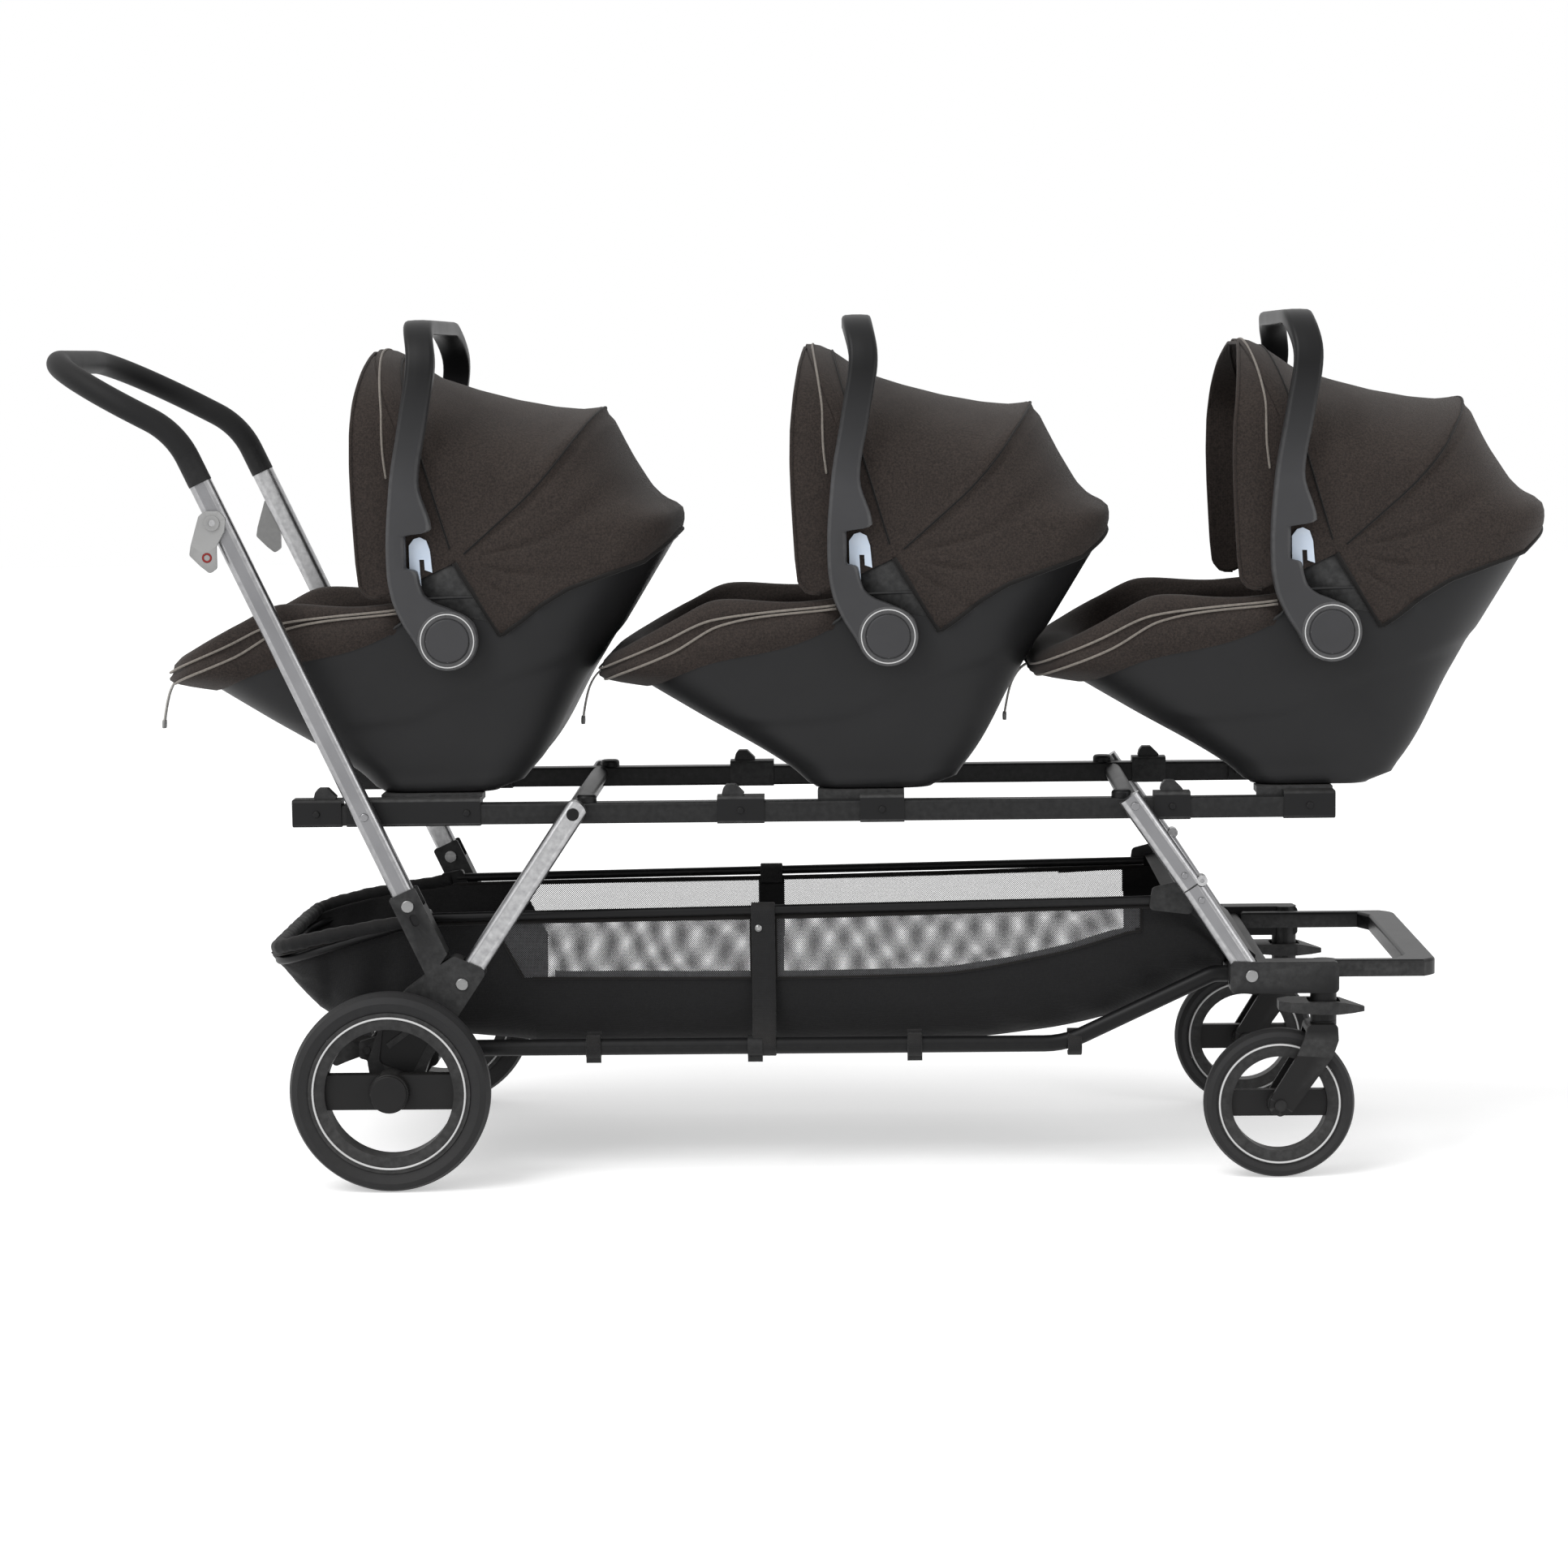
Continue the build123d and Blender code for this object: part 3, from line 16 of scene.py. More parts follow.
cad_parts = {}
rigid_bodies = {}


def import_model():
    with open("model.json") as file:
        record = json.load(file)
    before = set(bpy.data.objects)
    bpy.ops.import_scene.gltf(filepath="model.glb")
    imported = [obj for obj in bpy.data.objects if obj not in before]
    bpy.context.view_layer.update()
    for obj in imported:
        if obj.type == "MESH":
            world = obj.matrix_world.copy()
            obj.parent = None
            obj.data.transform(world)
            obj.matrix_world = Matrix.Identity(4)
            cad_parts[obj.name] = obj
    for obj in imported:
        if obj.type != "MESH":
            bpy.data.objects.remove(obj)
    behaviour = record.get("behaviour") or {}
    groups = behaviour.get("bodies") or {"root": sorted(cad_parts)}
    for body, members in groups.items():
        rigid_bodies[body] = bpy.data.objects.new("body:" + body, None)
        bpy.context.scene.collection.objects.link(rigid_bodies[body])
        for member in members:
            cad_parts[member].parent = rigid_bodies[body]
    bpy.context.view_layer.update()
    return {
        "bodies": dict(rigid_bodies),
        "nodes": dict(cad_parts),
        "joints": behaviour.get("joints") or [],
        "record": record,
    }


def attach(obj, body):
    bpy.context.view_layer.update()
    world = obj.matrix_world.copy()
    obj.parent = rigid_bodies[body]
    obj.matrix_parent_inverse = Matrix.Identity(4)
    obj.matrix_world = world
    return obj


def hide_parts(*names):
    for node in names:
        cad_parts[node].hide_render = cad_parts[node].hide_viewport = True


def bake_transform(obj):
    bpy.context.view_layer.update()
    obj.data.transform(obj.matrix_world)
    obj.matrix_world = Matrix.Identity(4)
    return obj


LOG = logging.getLogger("triple_stroller")

MM = 0.001
SEAT_NAMES = ("rear", "middle", "front")
SEAT_PITCH = 526.0
FLOOR_GLOW = 0.42
CHIP_LEVELS = 255
CHIP_KNEE = 0.04045
CHIP_SLOPE = 12.92
CHIP_SHIFT = 0.055
CHIP_POWER = 2.4

Side = tuple[float, float]
Colour = tuple[float, float, float]


class Weave(Enum):
    """How a cloth is woven."""

    MELANGE = "melange"
    CANVAS = "canvas"
    WEBBING = "webbing"


def linear(level: int) -> float:
    """Turn one level of a colour chip into its scene linear value."""
    share = level / CHIP_LEVELS
    if share <= CHIP_KNEE:
        return share / CHIP_SLOPE
    return ((share + CHIP_SHIFT) / (1 + CHIP_SHIFT)) ** CHIP_POWER


def paint(red: int, green: int, blue: int) -> Colour:
    """Turn a colour chip's 0 to 255 levels into scene linear values."""
    return linear(red), linear(green), linear(blue)


def ramp(low: float, high: float, value: float) -> float:
    """Rise smoothly from 0 at low to 1 at high."""
    share = min(1.0, max(0.0, (value - low) / (high - low)))
    return share * share * (3 - 2 * share)


def bump(centre: float, reach: float, value: float) -> float:
    """Give 1 at the centre and fall smoothly to 0 at the reach."""
    return 1.0 - ramp(0.0, reach, abs(value - centre))


class Profile:
    """A smooth curve through (position, value) keys that never overshoots them."""

    def __init__(self, *keys: Side) -> None:
        """Keep the keys and work out their slopes.

        Args:
            keys: Pairs of position and value, in rising order of position.
        """
        self.keys = keys
        steps = [(b[1] - a[1]) / (b[0] - a[0]) for a, b in zip(keys, keys[1:])]
        self.slopes = [steps[0]]
        for before, after in zip(steps, steps[1:]):
            even = before * after > 0
            self.slopes.append(2 * before * after / (before + after) if even else 0.0)
        self.slopes.append(steps[-1])

    def at(self, position: float) -> float:
        """Read the curve.

        Args:
            position: Where to read it; beyond the ends the end value holds.

        Returns:
            The value there.
        """
        keys = self.keys
        if position <= keys[0][0]:
            return keys[0][1]
        for i in range(len(keys) - 1):
            (x0, y0), (x1, y1) = keys[i], keys[i + 1]
            if position <= x1:
                span = x1 - x0
                t = (position - x0) / span
                rise = self.slopes[i] * span
                fall = self.slopes[i + 1] * span
                t2, t3 = t * t, t * t * t
                return ((2 * t3 - 3 * t2 + 1) * y0 + (t3 - 2 * t2 + t) * rise
                        + (3 * t2 - 2 * t3) * y1 + (t3 - t2) * fall)
        return keys[-1][1]


def smooth_line(points: Sequence[Vector], per_run: int) -> list[Vector]:
    """Draw a smooth line through points.

    Args:
        points: The points that the line passes through.
        per_run: How many steps each run between two points gets.

    Returns:
        The points along the smooth line.
    """
    count = len(points)
    line: list[Vector] = []
    for i in range(count - 1):
        a, b = points[max(i - 1, 0)], points[i]
        c, d = points[i + 1], points[min(i + 2, count - 1)]
        for step in range(per_run):
            t = step / per_run
            line.append(0.5 * (2 * b + (c - a) * t + (2 * a - 5 * b + 4 * c - d) * t * t
                               + (3 * b - a - 3 * c + d) * t * t * t))
    line.append(points[-1].copy())
    return line


def mirrored(half: Sequence[Vector]) -> list[Vector]:
    """Join a line that ends in the middle plane to its mirror image."""
    return list(half) + [Vector((p.x, -p.y, p.z)) for p in half[-2::-1]]


class Skin:
    """Collects points and faces in millimetres and turns them into one mesh object."""

    def __init__(self) -> None:
        """Start with nothing."""
        self.points: list[Vector] = []
        self.faces: list[tuple[int, ...]] = []
        self.zones: list[int] = []

    def grid(self, rows: Sequence[Sequence[Vector]], loop: bool = False,
             zone: Callable[[Vector], int] | int = 0) -> None:
        """Add a net of four-sided faces.

        Args:
            rows: Rows of points, all of one length.
            loop: Whether each row closes on itself.
            zone: The material zone, or a function that gives it from a face's middle.
        """
        base, width = len(self.points), len(rows[0])
        for row in rows:
            self.points.extend(row)
        for r in range(len(rows) - 1):
            for c in range(width if loop else width - 1):
                n = (c + 1) % width
                face = (base + r * width + c, base + r * width + n,
                        base + (r + 1) * width + n, base + (r + 1) * width + c)
                self.faces.append(face)
                if callable(zone):
                    middle = sum((self.points[v] for v in face), Vector()) / 4
                    self.zones.append(zone(middle))
                else:
                    self.zones.append(zone)

    def fan(self, ring: Sequence[Vector], tip: Vector, zone: int = 0) -> None:
        """Close a ring of points with triangles to a tip.

        Args:
            ring: The points round the hole.
            tip: The point in its middle.
            zone: The material zone.
        """
        base = len(self.points)
        self.points.extend(ring)
        self.points.append(tip)
        count = len(ring)
        for i in range(count):
            self.faces.append((base + i, base + (i + 1) % count, base + count))
            self.zones.append(zone)

    def sweep(self, path: Sequence[Vector], profile: Sequence[Side], side: Vector | None = None,
              zone: int = 0, taper: Callable[[float], float] | None = None) -> None:
        """Run a closed profile along a path.

        Args:
            path: The points of the path.
            profile: The profile's points, as (across, outward) offsets.
            side: The direction that stays across the path, or None to let it follow the path.
            zone: The material zone.
            taper: A scale of the profile from the share of the path.
        """
        count = len(path)
        rows: list[list[Vector]] = []
        across = side.normalized() if side else None
        for i, point in enumerate(path):
            before, after = path[max(i - 1, 0)], path[min(i + 1, count - 1)]
            run = (after - before).normalized()
            if side is not None:
                flat = (side - run * side.dot(run)).normalized()
            else:
                if across is None:
                    across = run.orthogonal().normalized()
                flat = (across - run * across.dot(run)).normalized()
                across = flat
            out = flat.cross(run)
            size = taper(i / max(count - 1, 1)) if taper else 1.0
            rows.append([point + (flat * a + out * b) * size for a, b in profile])
        self.grid(rows, loop=True, zone=zone)
        self.fan(rows[0], path[0].copy(), zone)
        self.fan(rows[-1], path[-1].copy(), zone)

    def turn(self, centre: Vector, axis: Vector, profile: Sequence[Side], steps: int = 72,
             zone: int = 0) -> None:
        """Turn a profile about an axis.

        Args:
            centre: A point on the axis.
            axis: The axis.
            profile: The profile's points, as (radius, height along the axis).
            steps: How many steps the turn has.
            zone: The material zone.
        """
        line = axis.normalized()
        first = line.orthogonal().normalized()
        second = line.cross(first)
        rows = []
        for radius, height in profile:
            row = []
            for step in range(steps):
                angle = math.tau * step / steps
                row.append(centre + line * height
                           + (first * math.cos(angle) + second * math.sin(angle)) * radius)
            rows.append(row)
        self.grid(rows, loop=True, zone=zone)

    def build(self, name: str, materials: Sequence[bpy.types.Material],
              weld: float = 0.02) -> bpy.types.Object:
        """Make the mesh object.

        Args:
            name: The object's name.
            materials: One material for each zone.
            weld: Points closer than this are joined, in millimetres.

        Returns:
            The object, linked to the scene.
        """
        mesh = bpy.data.meshes.new(name)
        model = bmesh.new()
        made = [model.verts.new((p.x * MM, p.y * MM, p.z * MM)) for p in self.points]
        for face, zone in zip(self.faces, self.zones):
            cell = model.faces.new([made[i] for i in face])
            cell.material_index = zone
            cell.smooth = True
        bmesh.ops.remove_doubles(model, verts=model.verts, dist=weld * MM)
        bmesh.ops.dissolve_degenerate(model, dist=weld * MM, edges=model.edges)
        bmesh.ops.recalc_face_normals(model, faces=model.faces)
        model.to_mesh(mesh)
        model.free()
        piece = bpy.data.objects.new(name, mesh)
        bpy.context.scene.collection.objects.link(piece)
        for material in materials:
            mesh.materials.append(material)
        return piece


def apply_modifiers(piece: bpy.types.Object) -> None:
    """Bake a piece's modifiers into its mesh."""
    depsgraph = bpy.context.evaluated_depsgraph_get()
    baked = bpy.data.meshes.new_from_object(piece.evaluated_get(depsgraph))
    piece.modifiers.clear()
    piece.data = baked


def thicken(piece: bpy.types.Object, thickness: float) -> None:
    """Give a cloth its thickness in millimetres, growing inwards."""
    modifier = piece.modifiers.new("thickness", "SOLIDIFY")
    modifier.thickness = thickness * MM
    modifier.offset = -1.0
    modifier.use_even_offset = False
    apply_modifiers(piece)


def refine(piece: bpy.types.Object) -> None:
    """Round a piece with one level of subdivision surface."""
    modifier = piece.modifiers.new("rounding", "SUBSURF")
    modifier.levels = 1
    modifier.render_levels = 1
    apply_modifiers(piece)


def copy_piece(piece: bpy.types.Object, name: str, shift: float) -> bpy.types.Object:
    """Copy a piece along the row.

    Args:
        piece: The piece to copy.
        name: The copy's name.
        shift: How far along the row the copy goes, in millimetres.

    Returns:
        The copy.
    """
    mesh = piece.data.copy()
    mesh.transform(Matrix.Translation((shift * MM, 0, 0)))
    twin = bpy.data.objects.new(name, mesh)
    bpy.context.scene.collection.objects.link(twin)
    return twin


def cloth_area(piece: bpy.types.Object) -> float:
    """Measure the area of a piece's faces in square metres."""
    return sum(face.area for face in piece.data.polygons)


def round_profile(radius: float, steps: int = 8) -> list[Side]:
    """Draw a round profile of a radius with a number of points."""
    turns = [math.tau * i / steps for i in range(steps)]
    return [(radius * math.cos(turn), radius * math.sin(turn)) for turn in turns]


def strap_profile(half: float, thick: float) -> list[Side]:
    """Draw a strap's profile with rounded edges from its half width and its thickness."""
    edge = thick / 2
    inner = half - edge
    return [(-half, 0), (-inner, -edge), (-inner / 2, -edge), (0, -edge), (inner / 2, -edge),
            (inner, -edge),
            (half, 0), (inner, edge), (inner / 2, edge), (0, edge), (-inner / 2, edge), (-inner, edge)]


class Wiring:
    """Places and links shader nodes in one node tree."""

    def __init__(self, tree: bpy.types.NodeTree) -> None:
        """Keep the tree that the nodes go into."""
        self.tree = tree

    def add(self, kind: str, **inputs: object) -> bpy.types.Node:
        """Place a node.

        Args:
            kind: Blender's node type.
            inputs: Settings of the node, and values or sockets for inputs with that name.

        Returns:
            The node.
        """
        node = self.tree.nodes.new(kind)
        for name, value in inputs.items():
            label = name.replace("_", " ").title()
            if hasattr(node, name):
                setattr(node, name, value)
            else:
                self.give(node.inputs[label], value)
        return node

    def give(self, slot: bpy.types.NodeSocket, value: object) -> None:
        """Link a socket to an input, or set the input to a plain value."""
        if isinstance(value, bpy.types.NodeSocket):
            self.tree.links.new(value, slot)
        else:
            slot.default_value = value

    def place(self) -> bpy.types.NodeSocket:
        """Place the piece's own coordinates."""
        return self.add("ShaderNodeTexCoord").outputs["Object"]

    def split(self, vector: bpy.types.NodeSocket) -> bpy.types.bpy_prop_collection:
        """Split a vector into its three numbers."""
        return self.add("ShaderNodeSeparateXYZ", vector=vector).outputs

    def noise(self, place: bpy.types.NodeSocket, scale: object, detail: float,
              roughness: float = 0.5) -> bpy.types.NodeSocket:
        """Place a noise and return its value.

        Args:
            place: The coordinates.
            scale: Its scale, as a value or socket.
            detail: Its detail.
            roughness: Its roughness.

        Returns:
            Its value's socket.
        """
        node = self.add("ShaderNodeTexNoise", vector=place, scale=scale, detail=detail, roughness=roughness)
        return node.outputs[0]

    def seen_directly(self) -> bpy.types.NodeSocket:
        """Give 1 to the camera, to reflections and to views through a surface, and 0 to lit surfaces."""
        light = self.add("ShaderNodeLightPath")
        seen = self.math("ADD", light.outputs["Is Camera Ray"], light.outputs["Is Glossy Ray"])
        return self.math("MINIMUM", self.math("ADD", seen, light.outputs["Is Transmission Ray"]), 1.0)

    def math(self, operation: str, first: object, second: object = 0.0,
             third: object = 0.0) -> bpy.types.NodeSocket:
        """Place a Math node.

        Args:
            operation: Its operation.
            first: Its first value or socket.
            second: Its second value or socket.
            third: Its third value or socket.

        Returns:
            Its output socket.
        """
        node = self.tree.nodes.new("ShaderNodeMath")
        node.operation = operation
        for slot, value in zip(node.inputs, (first, second, third)):
            self.give(slot, value)
        return node.outputs[0]

    def blend(self, share: object, first: object, second: object) -> bpy.types.NodeSocket:
        """Mix two colours.

        Args:
            share: The share of the second, as a value or socket.
            first: The first colour or socket.
            second: The second colour or socket.

        Returns:
            The mixed colour's socket.
        """
        node = self.tree.nodes.new("ShaderNodeMix")
        node.data_type = "RGBA"
        slots = (node.inputs["Factor"], node.inputs[6], node.inputs[7])
        for slot, value in zip(slots, (share, first, second)):
            self.give(slot, (*value, 1.0) if isinstance(value, tuple) else value)
        return node.outputs[2]

    def link(self, start: bpy.types.NodeSocket, end: bpy.types.NodeSocket) -> None:
        """Link two sockets."""
        self.tree.links.new(start, end)


class Effects:
    """The shader node groups that several finishes share, each built once."""

    def __init__(self) -> None:
        """Build every group."""
        self.weave = self.make("cloth weave", ("Pitch", "Fleck Size"), ("Height", "Fleck"), self.fill_weave)
        self.grain = self.make("moulded grain", ("Size", "Spread"), ("Height", "Tone"), self.fill_grain)
        self.wear = self.make("edge wear", ("Amount",), ("Mask",), self.fill_wear_and_highlight)
        self.dust = self.make("settled dust", ("Amount", "Reach"), ("Mask",), self.fill_dust)
        self.brushed = self.make("drawn metal", ("Tilt", "Size"), ("Height", "Tone"), self.fill_brushed)

    @staticmethod
    def make(name: str, inputs: Sequence[str], outputs: Sequence[str],
             fill: Callable[[Wiring, bpy.types.Node, bpy.types.Node], None]) -> bpy.types.NodeTree:
        """Make one node group.

        Args:
            name: The group's name.
            inputs: The names of its number inputs.
            outputs: The names of its number outputs.
            fill: The function that places its nodes.

        Returns:
            The group.
        """
        group = bpy.data.node_groups.new(name, "ShaderNodeTree")
        for label in inputs:
            group.interface.new_socket(label, in_out="INPUT", socket_type="NodeSocketFloat")
        for label in outputs:
            group.interface.new_socket(label, in_out="OUTPUT", socket_type="NodeSocketFloat")
        fill(Wiring(group), group.nodes.new("NodeGroupInput"), group.nodes.new("NodeGroupOutput"))
        return group

    @staticmethod
    def fill_weave(wires: Wiring, given: bpy.types.Node, result: bpy.types.Node) -> None:
        """Crossing threads in three directions, and flecks of lighter yarn."""
        place = wires.place()
        scale = wires.math("DIVIDE", math.tau / MM, given.outputs["Pitch"])
        scaled = wires.add("ShaderNodeVectorMath", operation="SCALE", scale=scale)
        wires.link(place, scaled.inputs[0])
        waves = [wires.math("SINE", part) for part in wires.split(scaled.outputs[0])]
        pairs = [wires.math("MULTIPLY", waves[a], waves[b]) for a, b in ((0, 1), (1, 2), (2, 0))]
        total = wires.math("ADD", wires.math("ADD", pairs[0], pairs[1]), pairs[2])
        wires.link(wires.math("MULTIPLY_ADD", total, 0.33, 0.5), result.inputs["Height"])
        size = wires.math("DIVIDE", 1.0 / MM, given.outputs["Fleck Size"])
        wires.link(wires.noise(place, size, 3.0, 0.65), result.inputs["Fleck"])

    @staticmethod
    def fill_grain(wires: Wiring, given: bpy.types.Node, result: bpy.types.Node) -> None:
        """Fine pebbled grain of moulded plastic, and a slow change of tone."""
        place = wires.place()
        size = wires.math("DIVIDE", 1.0 / MM, given.outputs["Size"])
        cells = wires.add("ShaderNodeTexVoronoi", feature="SMOOTH_F1", vector=place, scale=size)
        wires.link(cells.outputs["Distance"], result.inputs["Height"])
        spread = wires.math("DIVIDE", 1.0 / MM, given.outputs["Spread"])
        wires.link(wires.noise(place, spread, 4.0, 0.6), result.inputs["Tone"])

    @staticmethod
    def fill_wear_and_highlight(wires: Wiring, given: bpy.types.Node, result: bpy.types.Node) -> None:
        """Edge mask: where the surface is sharpest, broken up by noise; it marks rubbed wear, and on the
        carry handle a painted highlight.
        """
        sharp = wires.add("ShaderNodeNewGeometry").outputs["Pointiness"]
        edge = wires.math("MULTIPLY", wires.math("SUBTRACT", sharp, 0.52), 9.0)
        mask = wires.math("MULTIPLY", edge, wires.noise(wires.place(), 140.0, 3.0))
        node = wires.math("MULTIPLY", mask, given.outputs["Amount"])
        node.node.use_clamp = True
        wires.link(node, result.inputs["Mask"])

    @staticmethod
    def fill_dust(wires: Wiring, given: bpy.types.Node, result: bpy.types.Node) -> None:
        """Dust on faces that look up and near the ground."""
        normal = wires.add("ShaderNodeNewGeometry").outputs["Normal"]
        upward = wires.math("MAXIMUM", wires.split(normal)[2], 0.0)
        place = wires.place()
        height = wires.split(place)[2]
        low = wires.math("SUBTRACT", 1.0, wires.math("DIVIDE", height, given.outputs["Reach"]))
        low = wires.math("MAXIMUM", low, 0.0)
        total = wires.math("MULTIPLY", wires.math("ADD", upward, low), wires.noise(place, 22.0, 5.0))
        node = wires.math("MULTIPLY", total, given.outputs["Amount"])
        node.node.use_clamp = True
        wires.link(node, result.inputs["Mask"])

    @staticmethod
    def fill_brushed(wires: Wiring, given: bpy.types.Node, result: bpy.types.Node) -> None:
        """Fine lines along a drawn tube that leans by the tilt, and a soft change of tone."""
        place = wires.place()
        turned = wires.add("ShaderNodeVectorRotate", rotation_type="Y_AXIS", vector=place,
                           angle=given.outputs["Tilt"])
        drawn = wires.add("ShaderNodeVectorMath", operation="MULTIPLY")
        wires.link(turned.outputs[0], drawn.inputs[0])
        drawn.inputs[1].default_value = (0.02, 1.0, 1.0)
        size = wires.math("DIVIDE", 1.0 / MM, given.outputs["Size"])
        wires.link(wires.noise(drawn.outputs[0], size, 3.0), result.inputs["Height"])
        wires.link(wires.noise(place, 14.0, 3.0), result.inputs["Tone"])


class Base:
    """A material with its shader, ready to be wired."""

    def __init__(self, name: str, **values: float | tuple[float, ...]) -> None:
        """Make the material.

        Args:
            name: The material's name.
            values: Plain values for the shader's own sockets.
        """
        self.material = bpy.data.materials.new(name)
        self.material.use_nodes = True
        self.wires = Wiring(self.material.node_tree)
        self.shader = self.material.node_tree.nodes["Principled BSDF"]
        for label, value in values.items():
            self.shader.inputs[label.replace("_", " ").title().replace("Ior", "IOR")].default_value = value

    def group(self, tree: bpy.types.NodeTree, **values: float) -> bpy.types.Node:
        """Place a node group with its values and return its node."""
        node = self.wires.add("ShaderNodeGroup", node_tree=tree)
        for label, value in values.items():
            node.inputs[label.replace("_", " ").title()].default_value = value
        return node

    def feed(self, label: str, socket: bpy.types.NodeSocket) -> None:
        """Feed one of the shader's sockets."""
        self.wires.link(socket, self.shader.inputs[label])

    def relief(self, height: bpy.types.NodeSocket, depth: float, strength: float = 1.0) -> None:
        """Add a bump.

        Args:
            height: The socket that gives the height.
            depth: How deep it is in millimetres.
            strength: The bump's strength.
        """
        node = self.wires.add("ShaderNodeBump")
        node.inputs["Strength"].default_value = strength
        node.inputs["Distance"].default_value = depth * MM
        self.wires.link(height, node.inputs["Height"])
        self.feed("Normal", node.outputs[0])


@dataclass(frozen=True)
class Cloth:
    """A woven fabric."""

    name: str
    dark: Colour
    light: Colour
    pitch: float
    fleck: float
    depth: float
    weave: Weave
    roughness: float = 0.85
    sheen: float = 0.08

    def make(self, effects: Effects) -> bpy.types.Material:
        """Make the fabric's material with the shared effects."""
        base = Base(self.name, roughness=self.roughness, sheen_weight=self.sheen, sheen_roughness=0.45,
                    specular_ior_level=0.25)
        wires = base.wires
        woven = base.group(effects.weave, pitch=self.pitch, fleck_size=self.fleck)
        slow = base.group(effects.grain, size=40.0, spread=90.0)
        contrast = {Weave.MELANGE: 2.6, Weave.CANVAS: 1.4, Weave.WEBBING: 1.0}[self.weave]
        share = wires.math("MULTIPLY_ADD", wires.math("SUBTRACT", woven.outputs["Fleck"], 0.5), contrast,
                           0.5)
        share = wires.math("ADD", share, wires.math("MULTIPLY_ADD", slow.outputs["Tone"], 0.5, -0.25))
        share = wires.math("MULTIPLY", share, wires.math("MULTIPLY_ADD", woven.outputs["Height"], 0.5, 0.7))
        share.node.use_clamp = True
        dusty = base.group(effects.dust, amount=0.06, reach=0.2)
        colour = wires.blend(share, self.dark, self.light)
        base.feed("Base Color", wires.blend(dusty.outputs["Mask"], colour, paint(120, 112, 104)))
        base.relief(woven.outputs["Height"], self.depth, 0.8)
        return base.material


@dataclass(frozen=True)
class Moulded:
    """A moulded plastic, rubber, foam or powder coat."""

    name: str
    colour: Colour
    tone: Colour
    roughness: float
    grain: float = 0.9
    depth: float = 0.06
    spread: float = 120.0
    # Colour and strength of the sharp edges: rubbed wear, and on the carry handle a painted highlight.
    wear_and_highlight_colour: Colour = paint(96, 96, 96)
    wear: float = 0.5
    dust: float = 0.1
    coat: float = 0.0
    shine: float = 0.2
    # Heights in metres between which the colour darkens to near black: painted shade over the top of the
    # piece.
    fade: tuple[float, float] | None = None

    def make(self, effects: Effects) -> bpy.types.Material:
        """Make the material with the shared effects."""
        base = Base(self.name, specular_ior_level=self.shine, coat_roughness=0.2)
        wires = base.wires
        grained = base.group(effects.grain, size=self.grain, spread=self.spread)
        edge_mask = base.group(effects.wear, amount=self.wear)
        dusty = base.group(effects.dust, amount=self.dust, reach=0.25)
        colour = wires.blend(grained.outputs["Tone"], self.colour, self.tone)
        # Sharp edges take the edge colour: rubbed wear, and a painted highlight on the carry handle.
        colour = wires.blend(edge_mask.outputs["Mask"], colour, self.wear_and_highlight_colour)
        # Painted shade: the colour darkens towards the top of the piece.
        if self.fade:
            colour = wires.blend(self.painted_top_shade_share(wires), colour, paint(15, 15, 16))
        base.feed("Base Color", wires.blend(dusty.outputs["Mask"], colour, paint(128, 122, 114)))
        rough = wires.math("MULTIPLY_ADD", grained.outputs["Tone"], 0.16, self.roughness - 0.08)
        base.feed("Roughness", wires.math("ADD", rough, wires.math("MULTIPLY", dusty.outputs["Mask"], 0.5)))
        if self.coat:
            base.feed("Coat Weight", wires.math("MULTIPLY_ADD", grained.outputs["Tone"], 0.2, self.coat))
        base.relief(grained.outputs["Height"], self.depth, 0.7)
        return base.material

    def painted_top_shade_share(self, wires: Wiring) -> bpy.types.NodeSocket:
        """Give the share of painted shade over the top of the piece: 0 below the fade's start and 1 above its
        end, in the piece's own height.
        """
        start, end = self.fade
        height = wires.split(wires.place())[2]
        share = wires.math("DIVIDE", wires.math("SUBTRACT", height, start), end - start)
        share.node.use_clamp = True
        return share


@dataclass(frozen=True)
class DrawnMetal:
    """A satin metal tube or a zinc part."""

    name: str
    colour: Colour
    tone: Colour
    roughness: float
    tilt: float = 0.0
    line: float = 1.2

    def make(self, effects: Effects) -> bpy.types.Material:
        """Make the metal's material with the shared effects."""
        base = Base(self.name, metallic=1.0)
        wires = base.wires
        drawn = base.group(effects.brushed, tilt=self.tilt, size=self.line)
        edge_mask = base.group(effects.wear, amount=0.7)
        colour = wires.blend(drawn.outputs["Tone"], self.colour, self.tone)
        base.feed("Base Color", wires.blend(edge_mask.outputs["Mask"], colour, paint(225, 225, 225)))
        rough = wires.math("MULTIPLY_ADD", drawn.outputs["Height"], 0.2, self.roughness - 0.1)
        base.feed("Roughness", rough)
        base.relief(drawn.outputs["Height"], 0.04, 0.5)
        return base.material


@dataclass(frozen=True)
class Netting:
    """A see-through knitted mesh."""

    name: str
    colour: Colour
    tone: Colour
    pitch: float
    open_share: float

    def make(self, effects: Effects) -> bpy.types.Material:
        """Make the netting's material with the shared effects."""
        base = Base(self.name, roughness=0.7, sheen_weight=0.2, specular_ior_level=0.3)
        wires = base.wires
        woven = base.group(effects.weave, pitch=self.pitch, fleck_size=6.0)
        base.feed("Base Color", wires.blend(woven.outputs["Fleck"], self.colour, self.tone))
        along, _, upward = wires.split(wires.place())
        turns = math.pi / (self.pitch * MM)
        leans = [wires.math(way, along, upward) for way in ("ADD", "SUBTRACT")]
        cells = [wires.math("ABSOLUTE", wires.math("SINE", wires.math("MULTIPLY", lean, turns)))
                 for lean in leans]
        base.feed("Alpha", wires.math("LESS_THAN", wires.math("MULTIPLY", *cells), 1 - self.open_share))
        base.relief(woven.outputs["Height"], 0.3, 0.6)
        return base.material


